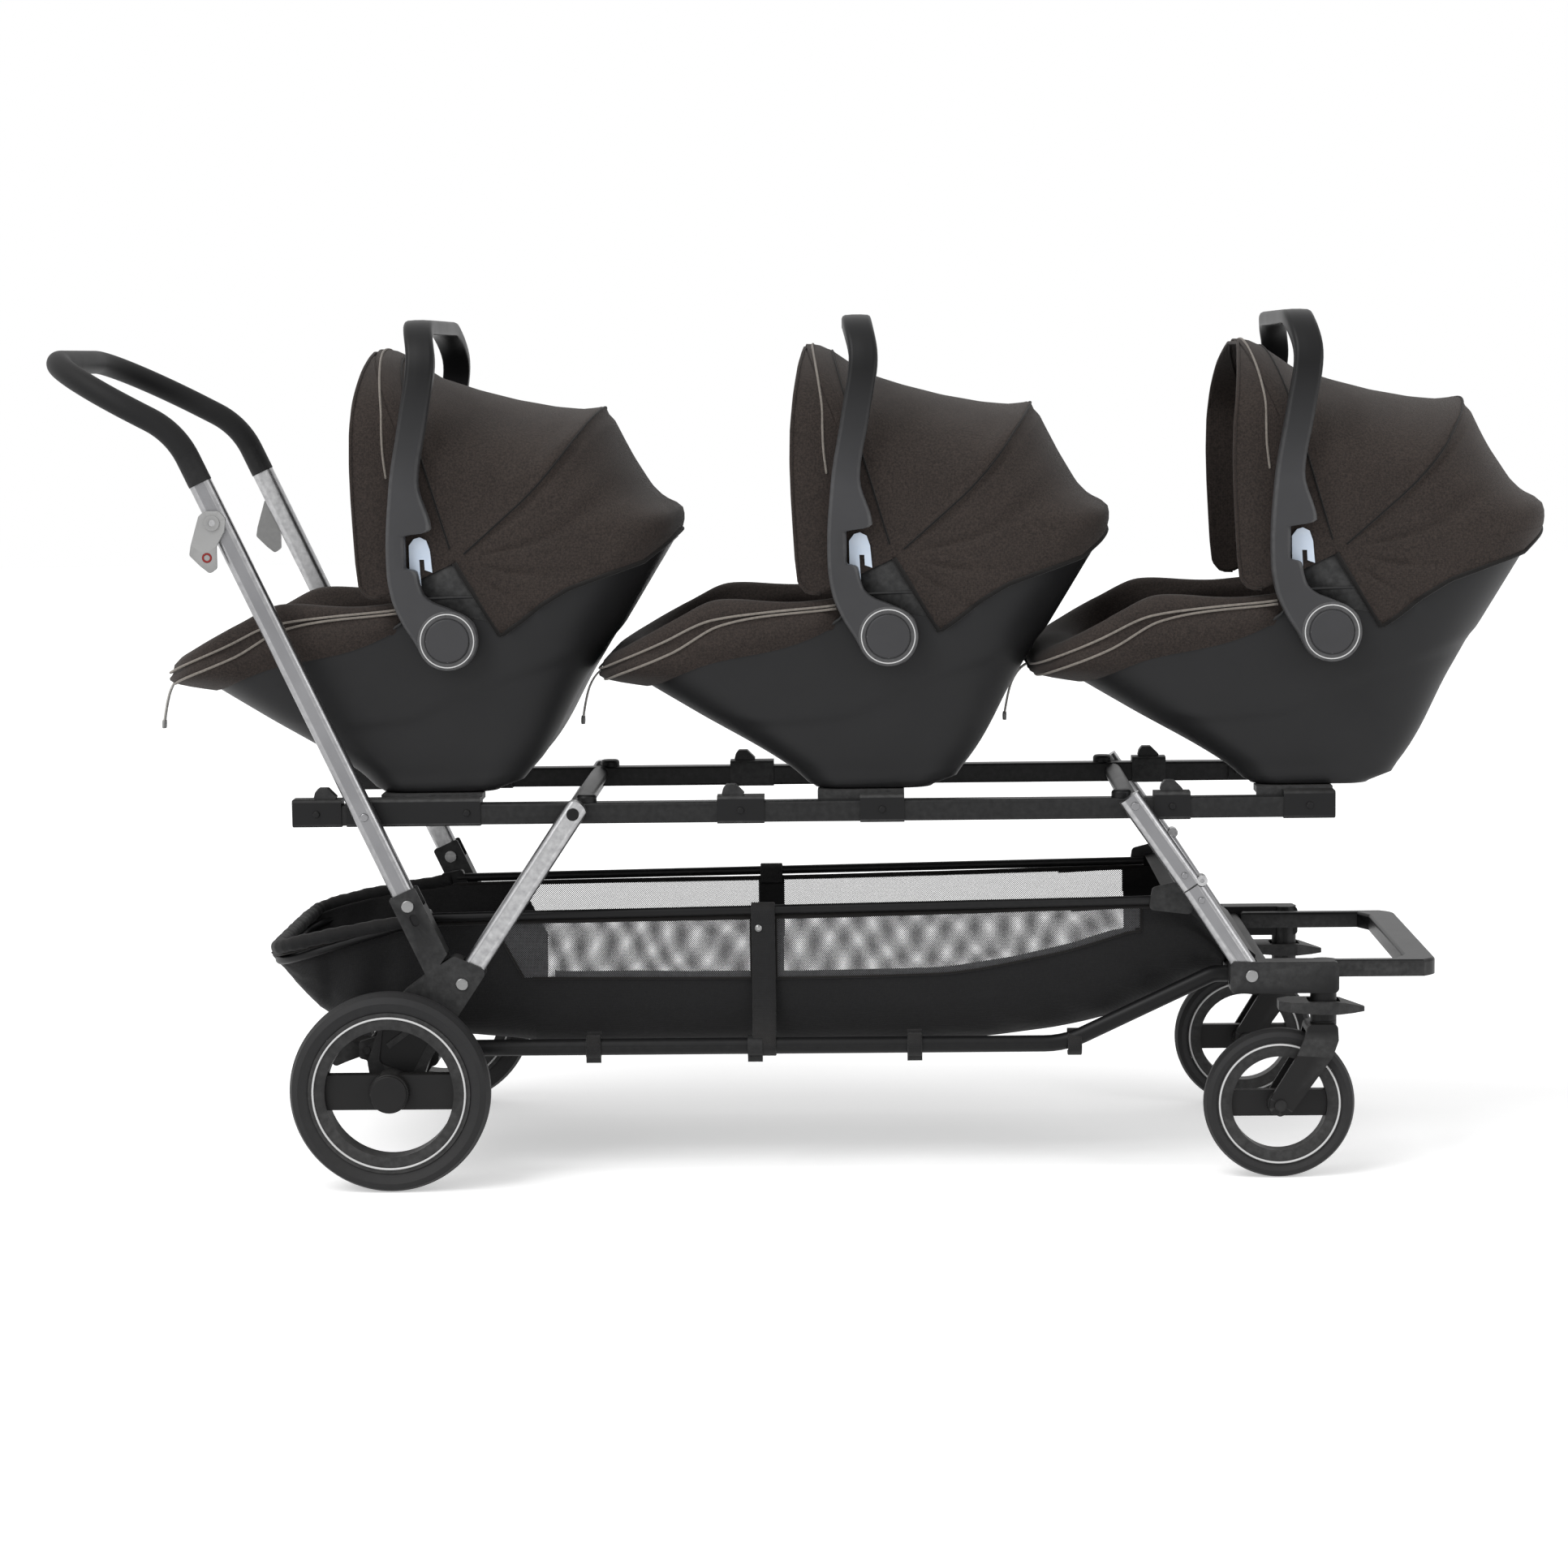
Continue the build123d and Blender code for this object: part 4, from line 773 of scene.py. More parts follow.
class Finishes:
    """Every material of the stroller, made once."""

    def __init__(self) -> None:
        """Make the shared effects and the materials."""
        effects = Effects()
        self.melange = Cloth("brown melange cloth", paint(31, 26, 24), paint(58, 50, 46), 1.6, 2.4, 0.25,
                             Weave.MELANGE).make(effects)
        self.lining = Cloth("dark lining cloth", paint(24, 21, 20), paint(42, 38, 36), 1.4, 2.0, 0.2,
                            Weave.MELANGE).make(effects)
        self.canvas = Cloth("black basket cloth", paint(10, 10, 11), paint(25, 25, 26), 1.8, 3.0, 0.3,
                            Weave.CANVAS, 0.8, 0.12).make(effects)
        self.webbing = Cloth("black webbing", paint(12, 12, 13), paint(28, 28, 29), 2.2, 5.0, 0.5,
                             Weave.WEBBING, 0.7, 0.1).make(effects)
        self.pale_webbing = Cloth("pale adjuster webbing", paint(176, 174, 170), paint(212, 210, 206),
                                  1.8, 4.0,
                                  0.3, Weave.WEBBING, 0.8, 0.1).make(effects)
        self.piping = Cloth("light grey piping", paint(104, 98, 92), paint(148, 141, 133), 1.2, 3.0, 0.25,
                            Weave.CANVAS, 0.75, 0.2).make(effects)
        self.seam = Cloth("dark seam binding", paint(9, 8, 8), paint(22, 20, 19), 1.2, 2.4, 0.2,
                          Weave.CANVAS, 0.85, 0.1).make(effects)
        self.netting = Netting("basket netting", paint(62, 62, 64), paint(104, 104, 106), 2.6,
                               0.68).make(effects)
        self.shell = Moulded("charcoal shell plastic", paint(27, 27, 28), paint(38, 38, 39), 0.52, 1.1,
                             0.03,
                             dust=0.03).make(effects)
        # Painted shade: the carry handle darkens from 0.83 m up to 0.97 m, over its top.
        self.arm = Moulded("carry handle plastic", paint(50, 50, 51), paint(66, 66, 68), 0.42, 0.9, 0.03,
                           # Painted highlight: the handle's edges are lightened to grey 140 at full strength
                           # of the edge mask.
                           wear_and_highlight_colour=paint(140, 140, 140), dust=0.0, wear=1.0, fade=(0.83, 0.97)).make(effects)
        self.black_plastic = Moulded("black moulded plastic", paint(13, 13, 14), paint(23, 23, 24), 0.48,
                                     0.8,
                                     0.03, dust=0.05).make(effects)
        self.powder_coat = Moulded("black powder coat", paint(9, 9, 10), paint(15, 15, 16), 0.42, 0.7, 0.01,
                                   dust=0.0, wear=0.2).make(effects)
        self.gloss = Moulded("glossy bumper plastic", paint(7, 7, 8), paint(12, 12, 13), 0.42, 0.9, 0.02,
                             coat=0.03, dust=0.0, shine=0.12).make(effects)
        self.grey_plastic = Moulded("grey lever plastic", paint(140, 140, 140), paint(168, 168, 167),
                                    0.36, 0.9,
                                    0.03, dust=0.03).make(effects)
        self.guide = Moulded("pale blue guide plastic", paint(190, 208, 230), paint(214, 226, 242), 0.4,
                             1.0,
                             0.02, wear_and_highlight_colour=paint(235, 240, 246), dust=0.02).make(effects)
        self.foam = Moulded("grip foam", paint(12, 12, 13), paint(24, 24, 25), 0.6, 1.6, 0.2,
                            wear=0.2, dust=0.03).make(effects)
        self.rubber = Moulded("tyre rubber", paint(30, 30, 31), paint(44, 44, 45), 0.6, 1.2, 0.06,
                              dust=0.03, wear=0.2).make(effects)
        self.ring = Moulded("white rim ring", paint(196, 196, 196), paint(222, 222, 222), 0.35, 0.8, 0.02,
                            wear_and_highlight_colour=paint(150, 150, 150), dust=0.06).make(effects)
        self.red = Moulded("red press plastic", paint(120, 18, 16), paint(150, 30, 26), 0.4, 0.8,
                           0.03).make(effects)
        satin = paint(112, 112, 114), paint(142, 142, 144), 0.33
        self.satin_rear = DrawnMetal("satin tube of the handle", *satin,
                                     math.atan2(844.5 - 338.1, -703.5 + 467.2)).make(effects)
        self.satin_legs = DrawnMetal("satin tube of the legs", *satin,
                                     math.atan2(446.4 - 243.6, -268.0 + 404.0)).make(effects)
        self.satin_front = DrawnMetal("satin tube of the front legs", *satin,
                                      math.atan2(245.8 - 450.0, 538.2 - 400.5)).make(effects)
        self.zinc = DrawnMetal("zinc steel", paint(118, 118, 118), paint(150, 150, 150), 0.3, 0.0,
                               2.0).make(effects)
        self.floor = self.make_floor()

    @staticmethod
    def make_floor() -> bpy.types.Material:
        """Make the studio floor's plain white, which keeps the shadow."""
        base = Base("studio floor", roughness=0.9, specular_ior_level=0.0)
        wires = base.wires
        patches = wires.add("ShaderNodeTexNoise", detail=2.0)
        patches.inputs["Scale"].default_value = 0.6
        base.feed("Base Color", wires.blend(patches.outputs[0], (0.87, 0.87, 0.87), (0.89, 0.89, 0.89)))
        base.shader.inputs["Emission Color"].default_value = (1.0, 1.0, 1.0, 1.0)
        base.feed("Emission Strength", wires.math("MULTIPLY", wires.seen_directly(), FLOOR_GLOW))
        return base.material


@dataclass
class Studio:
    """The floor, the lights and the camera at the photograph's viewing angle."""

    camera_at: tuple[float, float, float] = (0.10477, -4.79177, 0.98413)
    yaw: float = 0.02651
    pitch: float = 0.1102
    roll: float = -0.0126
    lens: float = 88.5
    floor_half: float = 14.0
    sky: float = 0.62
    sun: float = 1.3

    def camera(self) -> None:
        """Set the camera with its turn, tilt and roll."""
        data = bpy.data.cameras.new("studio camera")
        data.lens = self.lens
        data.sensor_width = 36.0
        data.clip_end = 60.0
        level = math.cos(self.pitch)
        ahead = Vector((-math.sin(self.yaw) * level, math.cos(self.yaw) * level, -math.sin(self.pitch)))
        right = ahead.cross(Vector((0, 0, 1))).normalized()
        upward = right.cross(ahead)
        turned = right * math.cos(self.roll) + upward * math.sin(self.roll)
        top = upward * math.cos(self.roll) - right * math.sin(self.roll)
        camera = bpy.data.objects.new("studio camera", data)
        axes = Matrix((turned, top, -ahead)).transposed().to_4x4()
        camera.matrix_world = Matrix.Translation(self.camera_at) @ axes
        bpy.context.scene.collection.objects.link(camera)
        bpy.context.scene.camera = camera

    def world(self) -> None:
        """Set an even pale sky that looks white behind the object."""
        world = bpy.data.worlds.new("studio sky")
        bpy.context.scene.world = world
        world.use_nodes = True
        wires = Wiring(world.node_tree)
        strength = wires.math("MULTIPLY_ADD", wires.seen_directly(), 1.0 - self.sky, self.sky)
        background = world.node_tree.nodes["Background"]
        background.inputs["Color"].default_value = (1.0, 1.0, 1.0, 1.0)
        wires.link(strength, background.inputs["Strength"])

    def lamp(self, name: str, kind: str, at: tuple[float, float, float], aim: tuple[float, float, float],
             energy: float, size: float) -> None:
        """Set one lamp.

        Args:
            name: The lamp's name.
            kind: SUN or AREA.
            at: Where it stands.
            aim: The point that it looks at.
            energy: Its strength.
            size: An area's side in metres, or a sun's angle in radians.
        """
        data = bpy.data.lights.new(name, kind)
        data.energy = energy
        if kind == "SUN":
            data.angle = size
        else:
            data.size = size
        lamp = bpy.data.objects.new(name, data)
        lamp.location = at
        lamp.rotation_euler = (Vector(aim) - Vector(at)).to_track_quat("-Z", "Y").to_euler()
        bpy.context.scene.collection.objects.link(lamp)

    def floor(self, finish: bpy.types.Material) -> None:
        """Lay the floor in its finish."""
        half = self.floor_half * 1000
        skin = Skin()
        steps = 8
        rows = [[Vector((-half + 2 * half * c / steps, -half + 2 * half * r / steps, 0.0))
                 for c in range(steps + 1)] for r in range(steps + 1)]
        skin.grid(rows)
        skin.build("studio_floor", [finish])

    def build(self, finishes: Finishes) -> None:
        """Set camera, floor, sky and lamps."""
        bpy.context.scene.view_settings.view_transform = "Standard"
        self.camera()
        self.world()
        self.floor(finishes.floor)
        self.lamp("key sun", "SUN", at=(-3.0, -2.5, 6.0), aim=(0.0, 0.0, 0.3), energy=self.sun, size=0.6)
        self.lamp("left softbox", "AREA", at=(-2.6, -3.2, 2.2), aim=(-0.2, 0.0, 0.6), energy=34.0, size=1.6)
        self.lamp("right softbox", "AREA", at=(3.2, -1.8, 1.8), aim=(0.2, 0.0, 0.6), energy=22.0, size=1.4)


@dataclass
class FrameFinish:
    """The finish of every carried-over rigid node."""

    finishes: Finishes

    def dress(self, nodes: dict[str, bpy.types.Object]) -> None:
        """Give each node its material.

        Args:
            nodes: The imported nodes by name.
        """
        f = self.finishes
        own = {
            "handle_tube": f.satin_rear, "rear_legs": f.satin_legs, "front_leg_upper": f.satin_front,
            "front_leg_lower": f.satin_front, "handle_grip": f.foam, "footrest_bumper": f.gloss,
            "release_lever_left": f.grey_plastic, "release_lever_right": f.grey_plastic,
            "side_rails": f.powder_coat, "cross_tubes": f.powder_coat, "lower_side_tubes": f.powder_coat,
            "basket_rim_tubes": f.powder_coat, "frame_bolts": f.zinc,
        }
        by_slot = {
            "satin_aluminium": f.satin_legs, "black_tube": f.powder_coat, "black_plastic": f.black_plastic,
            "charcoal_plastic": f.shell, "brown_fabric": f.melange, "black_fabric": f.canvas,
            "grip_foam": f.foam, "tyre_rubber": f.rubber, "steel_parts": f.zinc, "guide_plastic": f.guide,
            "webbing": f.webbing,
        }
        for name, node in nodes.items():
            for slot in node.material_slots:
                given = slot.material.name.split(".")[0] if slot.material else "black_plastic"
                slot.material = own.get(name) or by_slot[given]
                if name.endswith(("carry_handle", "hub_button_left", "hub_button_right")):
                    slot.material = f.arm


@dataclass
class WheelRings:
    """The thin pale ring on both faces of every wheel."""

    finishes: Finishes
    rear_centre: Side = (-489.1, 120.0)
    rear_y: float = 275.0
    rear_ring: float = 91.0
    rear_half: float = 17.6
    front_centre: Side = (572.1, 90.0)
    front_y: float = 228.0
    front_ring: float = 71.5
    front_half: float = 12.6
    band: float = 1.1

    def ring(self, name: str, body: str, centre: Side, y_mid: float, radius: float, half: float) -> None:
        """Make one wheel's two rings.

        Args:
            name: The piece's name.
            body: The wheel's body.
            centre: The axle in side view.
            y_mid: The middle of the wheel.
            radius: The ring's radius.
            half: How far the ring stands from the wheel's middle.
        """
        skin = Skin()
        for side in (-1, 1):
            face = y_mid + side * half
            profile = [(radius - self.band, -1.2 * side), (radius - self.band, 0.5 * side),
                       (radius - self.band * 0.5, 1.0 * side), (radius + self.band * 0.5, 1.0 * side),
                       (radius + self.band, 0.5 * side), (radius + self.band, -1.2 * side)]
            skin.turn(Vector((centre[0], face, centre[1])), Vector((0, 1, 0)), profile, 96)
        piece = skin.build(name, [self.finishes.ring])
        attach(piece, body)

    def build(self) -> None:
        """Make the rings of all four wheels."""
        for side, label in ((1, "left"), (-1, "right")):
            self.ring(f"rear_wheel_ring_{label}", f"rear_wheel_{label}", self.rear_centre,
                      side * self.rear_y,
                      self.rear_ring, self.rear_half)
            self.ring(f"front_wheel_ring_{label}", f"front_wheel_{label}", self.front_centre,
                      side * self.front_y, self.front_ring, self.front_half)


@dataclass
class LeverRings:
    """The red ring in the finger pad of both release levers."""

    finishes: Finishes
    centre: Side = (-695.0, 757.0)

    def build(self, nodes: dict[str, bpy.types.Object]) -> None:
        """Make one ring on each lever's outer face.

        Args:
            nodes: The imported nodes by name.
        """
        for side, label in ((1, "left"), (-1, "right")):
            lever = nodes[f"release_lever_{label}"]
            reach = [abs((lever.matrix_world @ Vector(corner)).y) for corner in lever.bound_box]
            face = side * (max(reach) * 1000 - 2.0)
            skin = Skin()
            ring = [(3.7, -0.9), (3.7, 0.3), (4.1, 0.6), (5.4, 0.6), (5.8, 0.3), (5.8, -0.9)]
            skin.turn(Vector((self.centre[0], face, self.centre[1])), Vector((0, side, 0)), ring, 40)
            piece = skin.build(f"lever_ring_{label}", [self.finishes.red])
            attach(piece, f"release_lever_{label}")


@dataclass
class Basket:
    """The shopping basket: a hung cloth tub with netting windows, a rolled rim, straps and loops."""

    finishes: Finishes
    half_top: float = 176.0
    rear_corner: float = 70.0
    strap_x: tuple[float, float] = (-60.0, -29.5)
    loops_x: tuple[float, ...] = (-252.0, 137.0, 330.0)
    lower_tube: tuple[float, float, float] = (188.0, 156.0, 10.0)
    top = Profile((-654, 264), (-620, 277), (-560, 291), (-500, 300), (-468, 304), (-455, 309),
                  (0, 315.6), (438, 322.4), (466, 316),
                  (498, 284), (512, 262))
    floor = Profile((-654, 257), (-636, 244), (-612, 218), (-590, 194), (-560, 180), (-518, 175),
                    (-434, 174),
                    (-420, 164), (-330, 152), (150, 151), (250, 158), (340, 171), (400, 190), (452, 213),
                    (490, 231),
                    (512, 244))
    window_rear: float = -375.0
    window_front: float = 411.5
    far_drop: float = 50.0
    far_run: float = 470.0
    window = Profile((-400, 239), (-60, 236.2), (-29, 236), (157, 239), (303, 262), (420, 296))

    def half_at(self, x: float) -> float:
        """Give the tub's half width in plan at x, round at the rear corners."""
        start = -648 + self.rear_corner
        if x >= start:
            return self.half_top - 6 * ramp(start + 20, start - 1, x)
        reach = min(1.0, (start - x) / (self.rear_corner + 8))
        return self.half_top - 6 - self.rear_corner * (1 - math.sqrt(max(0.0, 1 - reach * reach)))

    def place(self, x: float, share: float, side: float) -> Vector:
        """Give a point of the tub.

        Args:
            x: The slice along the stroller.
            share: 0 at the rim, 0.5 at the windows' lower edge, 1 at the floor's middle.
            side: 1 for the left side, -1 for the right side.

        Returns:
            The point.
        """
        top, low, half = self.top.at(x), self.floor.at(x), self.half_at(x)
        edge = min(max(self.window.at(x), low + (top - low) * 0.3), top - (top - low) * 0.25)
        corner = min(36.0, (top - low) * 0.45)
        drawn = 1 - (half - 22) / half
        if share <= 0.5:
            z = top + (edge - top) * share * 2
            y = half * (1 - drawn * ramp(top, low, z) * 0.6)
        else:
            run = (share - 0.5) * 2
            wall, bend = max(edge - low - corner, 1.0), corner * math.pi / 2
            flat = half - 22 - corner
            total = wall + bend + flat
            along = run * total
            base_half = half * (1 - drawn * 0.6)
            if along <= wall:
                z = edge - along
                y = half * (1 - drawn * ramp(top, low, z) * 0.6)
            elif along <= wall + bend:
                angle = (along - wall) / corner
                z = low + corner * (1 - math.sin(angle))
                y = base_half - corner * (1 - math.cos(angle)) - 2
            else:
                z = low
                y = (base_half - corner - 2) * (1 - (along - wall - bend) / flat)
        slant = 38 * bump(-375, 60, x) * min(1.0, share * 2) * ramp(-450, -380, x)
        point = Vector((x + slant, side * y, z))
        return self.crumple(point, share, side)

    def crumple(self, point: Vector, share: float, side: float) -> Vector:
        """Add the cloth's folds and its sag to a point.

        Args:
            point: The point before the folds.
            share: Its share of the way down.
            side: 1 for the left side, -1 for the right side.

        Returns:
            The moved point.
        """
        x, z = point.x, point.z
        fold = 0.0
        if 0.5 < share < 0.86:
            depth = math.sin((share - 0.5) / 0.36 * math.pi)
            fold += 3.2 * depth * noise.noise(Vector((x * 0.009, side * 3.1, z * 0.03)))
            fold += 2.2 * depth * math.sin(x * 0.045 + z * 0.02 + side) * ramp(-500, -380, x)
            fold += 2.4 * depth * math.sin((x + 2.4 * z) * 0.055) * ramp(100, 260, x)
        if share <= 0.5:
            depth = math.sin(share * 2 * math.pi)
            fold += 3.0 * depth * (math.sin(x * 0.021 + 1.3) + 0.6 * math.sin(x * 0.047 + z * 0.04))
            fold -= 2.5 * depth
        if x < -440:
            fold += 3.0 * math.sin(share * math.pi) * math.sin(x * 0.11 + point.y * 0.05) * ramp(-440,
                                                                                                 -520, x)
        for seam in (-566.0, -600.0, -500.0):
            fold -= 2.2 * bump(seam, 5.0, x) * math.sin(min(share * 1.6, 1.0) * math.pi)
        moved = point.copy()
        moved.y += side * fold if share < 0.86 else 0.0
        if share >= 0.8:
            sag = 1 + noise.noise(Vector((x * 0.012, point.y * 0.02, 4.0)))
            moved.z -= 2.5 * sag * ramp(0.8, 1.0, share)
        return moved

    def zone(self, middle: Vector) -> int:
        """Give 1 for the netting windows and 0 for the cloth at a face's middle."""
        if abs(middle.y) < 130:
            return 0
        rise = self.top.at(middle.x) - middle.z
        left = self.window_rear + 38 * min(1.0, max(0.0, rise / 78))
        rear = left < middle.x < self.strap_x[0]
        front = self.strap_x[1] < middle.x < self.window_front
        low = self.window.at(middle.x) - (self.far_drop if middle.y > 0 else 0.0)
        inside = low < middle.z < self.top.at(middle.x) - 5
        return 1 if inside and (rear or front) else 0

    def tub(self) -> bpy.types.Object:
        """Make the hung cloth with its windows."""
        stations = [-653.0, -650.0, -646.0, -640.0, -632.0, -622.0, -610.0]
        stations += [-600.0 + 7.5 * i for i in range(31)]
        stations += [self.window_rear + 7.5 * i for i in range(1, 42)]
        stations += [-60.0, -52.0, -44.0, -36.0, -29.5]
        stations += [-29.5 + 7.0 * i for i in range(1, 66)]
        stations += [432.0, 438.0, 446.0, 454.0, 462.0, 470.0, 478.0, 486.0, 494.0, 502.0, 508.0, 512.0]
        shares = [0.03 * i for i in range(2)] + [0.0625 * i for i in range(1, 9)]
        shares += [0.5 + 0.025 * i for i in range(1, 21)]
        rows = []
        for x in sorted(set(stations)):
            left = [self.place(x, share, 1) for share in shares]
            right = [self.place(x, share, -1) for share in shares]
            rows.append(left + right[-2::-1])
        skin = Skin()
        skin.grid(rows, zone=self.zone)
        for end in (rows[0], rows[-1]):
            half = len(end) // 2
            lid = [(end[half - k], end[half + k]) for k in range(half, -1, -1)]
            skin.grid([[a.lerp(b, s / 6) for s in range(7)] for a, b in lid])
        piece = skin.build("basket_cloth", [self.finishes.canvas, self.finishes.netting], weld=0.2)
        area = cloth_area(piece)
        thicken(piece, 1.6)
        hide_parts("basket")
        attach(piece, "chassis")
        return piece

    def rolled_rim(self) -> None:
        """Make the thick rolled edge of the rear pouch, puckered at its stitches."""
        turns = [Vector((-462, 181, 312)), Vector((-520, 181, 303)), Vector((-585, 180, 291)),
                 Vector((-628, 168, 280)), Vector((-642, 130, 273)), Vector((-645, 60, 271)),
                 Vector((-645, 0, 271))]
        path = smooth_line(mirrored(turns), 12)
        skin = Skin()
        skin.sweep(path, round_profile(8.6, 14), taper=lambda s: 1.0 + 0.05 * math.sin(s * 260)
                   + 0.04 * math.sin(s * 97))
        seam = [p + Vector((0, 0, -9.5)) for p in path]
        skin.sweep(seam, round_profile(1.6, 6), zone=1)
        piece = skin.build("basket_rolled_rim", [self.finishes.canvas, self.finishes.seam])
        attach(piece, "chassis")

    def side_bindings(self) -> None:
        """Make the bound edges of the windows and of the rim."""
        skin = Skin()
        for side in (1, -1):
            lowest = 0.5 if side < 0 else 0.5 + self.far_drop / self.far_run
            for share, radius, start, stop in ((0.02, 3.0, -455, 436), (lowest, 1.6, -340, 411)):
                count = 90
                path = [self.place(start + (stop - start) * i / count, share,
                                   side) for i in range(count + 1)]
                skin.sweep([p + Vector((0, side * 0.8, 0)) for p in path], round_profile(radius))
            for x in (self.window_rear, *self.strap_x, self.window_front):
                path = [self.place(x, 0.5 * i / 12, side) + Vector((0, side * 0.8, 0)) for i in range(13)]
                skin.sweep(path, round_profile(1.5))
        piece = skin.build("basket_bindings", [self.finishes.seam])
        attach(piece, "chassis")

    def centre_straps(self) -> None:
        """Make the two upright straps over rim and tub, with their snaps."""
        middle = sum(self.strap_x) / 2
        half = (self.strap_x[1] - self.strap_x[0]) / 2 - 1
        for side, label in ((1, "left"), (-1, "right")):
            skin = Skin()
            tube_y, tube_z, tube_r = self.lower_tube
            path = [Vector((middle, side * 170, 306)), Vector((middle, side * 173, 322)),
                    Vector((middle, side * 181, 329.5)), Vector((middle, side * 188.6, 322)),
                    Vector((middle, side * 186, 306)), Vector((middle, side * 181, 270)),
                    Vector((middle, side * 177.5, 230)), Vector((middle, side * 180, 196)),
                    Vector((middle, side * 189, 175)),
                    Vector((middle, side * (tube_y + tube_r + 1.6), tube_z)),
                    Vector((middle, side * tube_y, tube_z - tube_r - 1.6)),
                    Vector((middle, side * (tube_y - tube_r - 1.6), tube_z)),
                    Vector((middle, side * 176, 172))]
            skin.sweep(smooth_line(path, 8), strap_profile(half, 1.8), side=Vector((1, 0, 0)))
            snap = [(0.01, 2.0), (2.2, 2.0), (2.8, 1.6), (3.0, 0.8), (3.8, 0.8), (4.3, 0.2), (4.3, -1.0)]
            skin.turn(Vector((-50.5, side * 186.6, 299.5)), Vector((0, side, 0)), snap, 24, zone=1)
            piece = skin.build(f"basket_strap_{label}", [self.finishes.webbing, self.finishes.zinc])
            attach(piece, "chassis")

    def tube_loops(self) -> None:
        """Make the fabric loops that hold the tub to the lower tubes."""
        tube_y, tube_z, tube_r = self.lower_tube
        skin = Skin()
        for side in (1, -1):
            for x in self.loops_x:
                reach = tube_r + 3.4
                path = [Vector((x, side * 172, tube_z + 16))]
                for step in range(9):
                    angle = math.radians(150 - step * 35)
                    path.append(Vector((x, side * (tube_y + math.cos(angle) * reach),
                                        tube_z + math.sin(angle) * reach)))
                skin.sweep(smooth_line(path, 4), strap_profile(8.5, 1.6), side=Vector((1, 0, 0)))
        piece = skin.build("basket_tube_loops", [self.finishes.webbing])
        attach(piece, "chassis")

    def build(self) -> None:
        """Make every piece of the basket."""
        self.tub()
        self.rolled_rim()
        self.side_bindings()
        self.centre_straps()
        self.tube_loops()
        LOG.info("basket made")


@dataclass
class BucketForm:
    """The infant seat's bucket: a rounded plan that widens upwards."""

    end_points: int = 9
    corner_points: int = 12
    side_points: int = 44
    front = Profile((466.5, -508), (478.5, -524), (600, -727), (660, -827), (780, -1027))
    rear = Profile((466.5, -363), (478.5, -334), (600, -255), (660, -218), (780, -145))
    half = Profile((466.5, 176), (478.5, 178), (600, 186), (660, 190), (780, 190))
    corner = Profile((466.5, 34), (478.5, 44), (600, 100), (660, 120), (780, 120))

    def half_loop(self, z: float, inset: float) -> list[Side]:
        """Give the left half of the plan at a height.

        Args:
            z: The height.
            inset: How far the wall is drawn in.

        Returns:
            Points from the front middle round the left side to the rear middle.
        """
        front = self.front.at(z) + 1.6 * inset
        rear = self.rear.at(z) - 1.2 * inset
        half = self.half.at(z) - inset
        corner = min(max(self.corner.at(z) - inset, 12), (rear - front) / 2 - 1)
        points: list[Side] = []
        for i in range(self.end_points):
            points.append((front, (half - corner) * i / self.end_points))
        for i in range(self.corner_points):
            angle = math.pi / 2 * i / self.corner_points
            points.append((front + corner * (1 - math.cos(angle)), half - corner * (1 - math.sin(angle))))
        run = rear - front - 2 * corner
        for i in range(self.side_points):
            points.append((front + corner + run * i / self.side_points, half))
        for i in range(self.corner_points):
            angle = math.pi / 2 * i / self.corner_points
            points.append((rear - corner * (1 - math.sin(angle)), half - corner * (1 - math.cos(angle))))
        for i in range(self.end_points + 1):
            points.append((rear, (half - corner) * (1 - i / self.end_points)))
        return points

    def loop(self, z: float, inset: float) -> list[Vector]:
        """Give the whole plan at a height as a ring of points, drawn in by an inset."""
        left = self.half_loop(z, inset)
        right = [(x, -y) for x, y in left[-2:0:-1]]
        return [Vector((x, y, z)) for x, y in left + right]

    def columns(self) -> int:
        """Give the number of columns round the wall."""
        return len(self.loop(600, 0))

    def point(self, column: int, z: float, inset: float) -> Vector:
        """Give the wall's point in one column at a height and an inset."""
        return self.loop(z, inset)[column]

    def meet(self, column: int, line: Profile, inset: float = 0.0) -> float:
        """Find where a column of the wall meets a line drawn in side view.

        Args:
            column: The column's number.
            line: The line, as height over the place along the row.
            inset: How far the wall is drawn in.

        Returns:
            The height where they meet.
        """
        low, high = 480.0, 800.0
        for _ in range(22):
            middle = (low + high) / 2
            if middle < line.at(self.point(column, middle, inset).x):
                low = middle
            else:
                high = middle
        return low


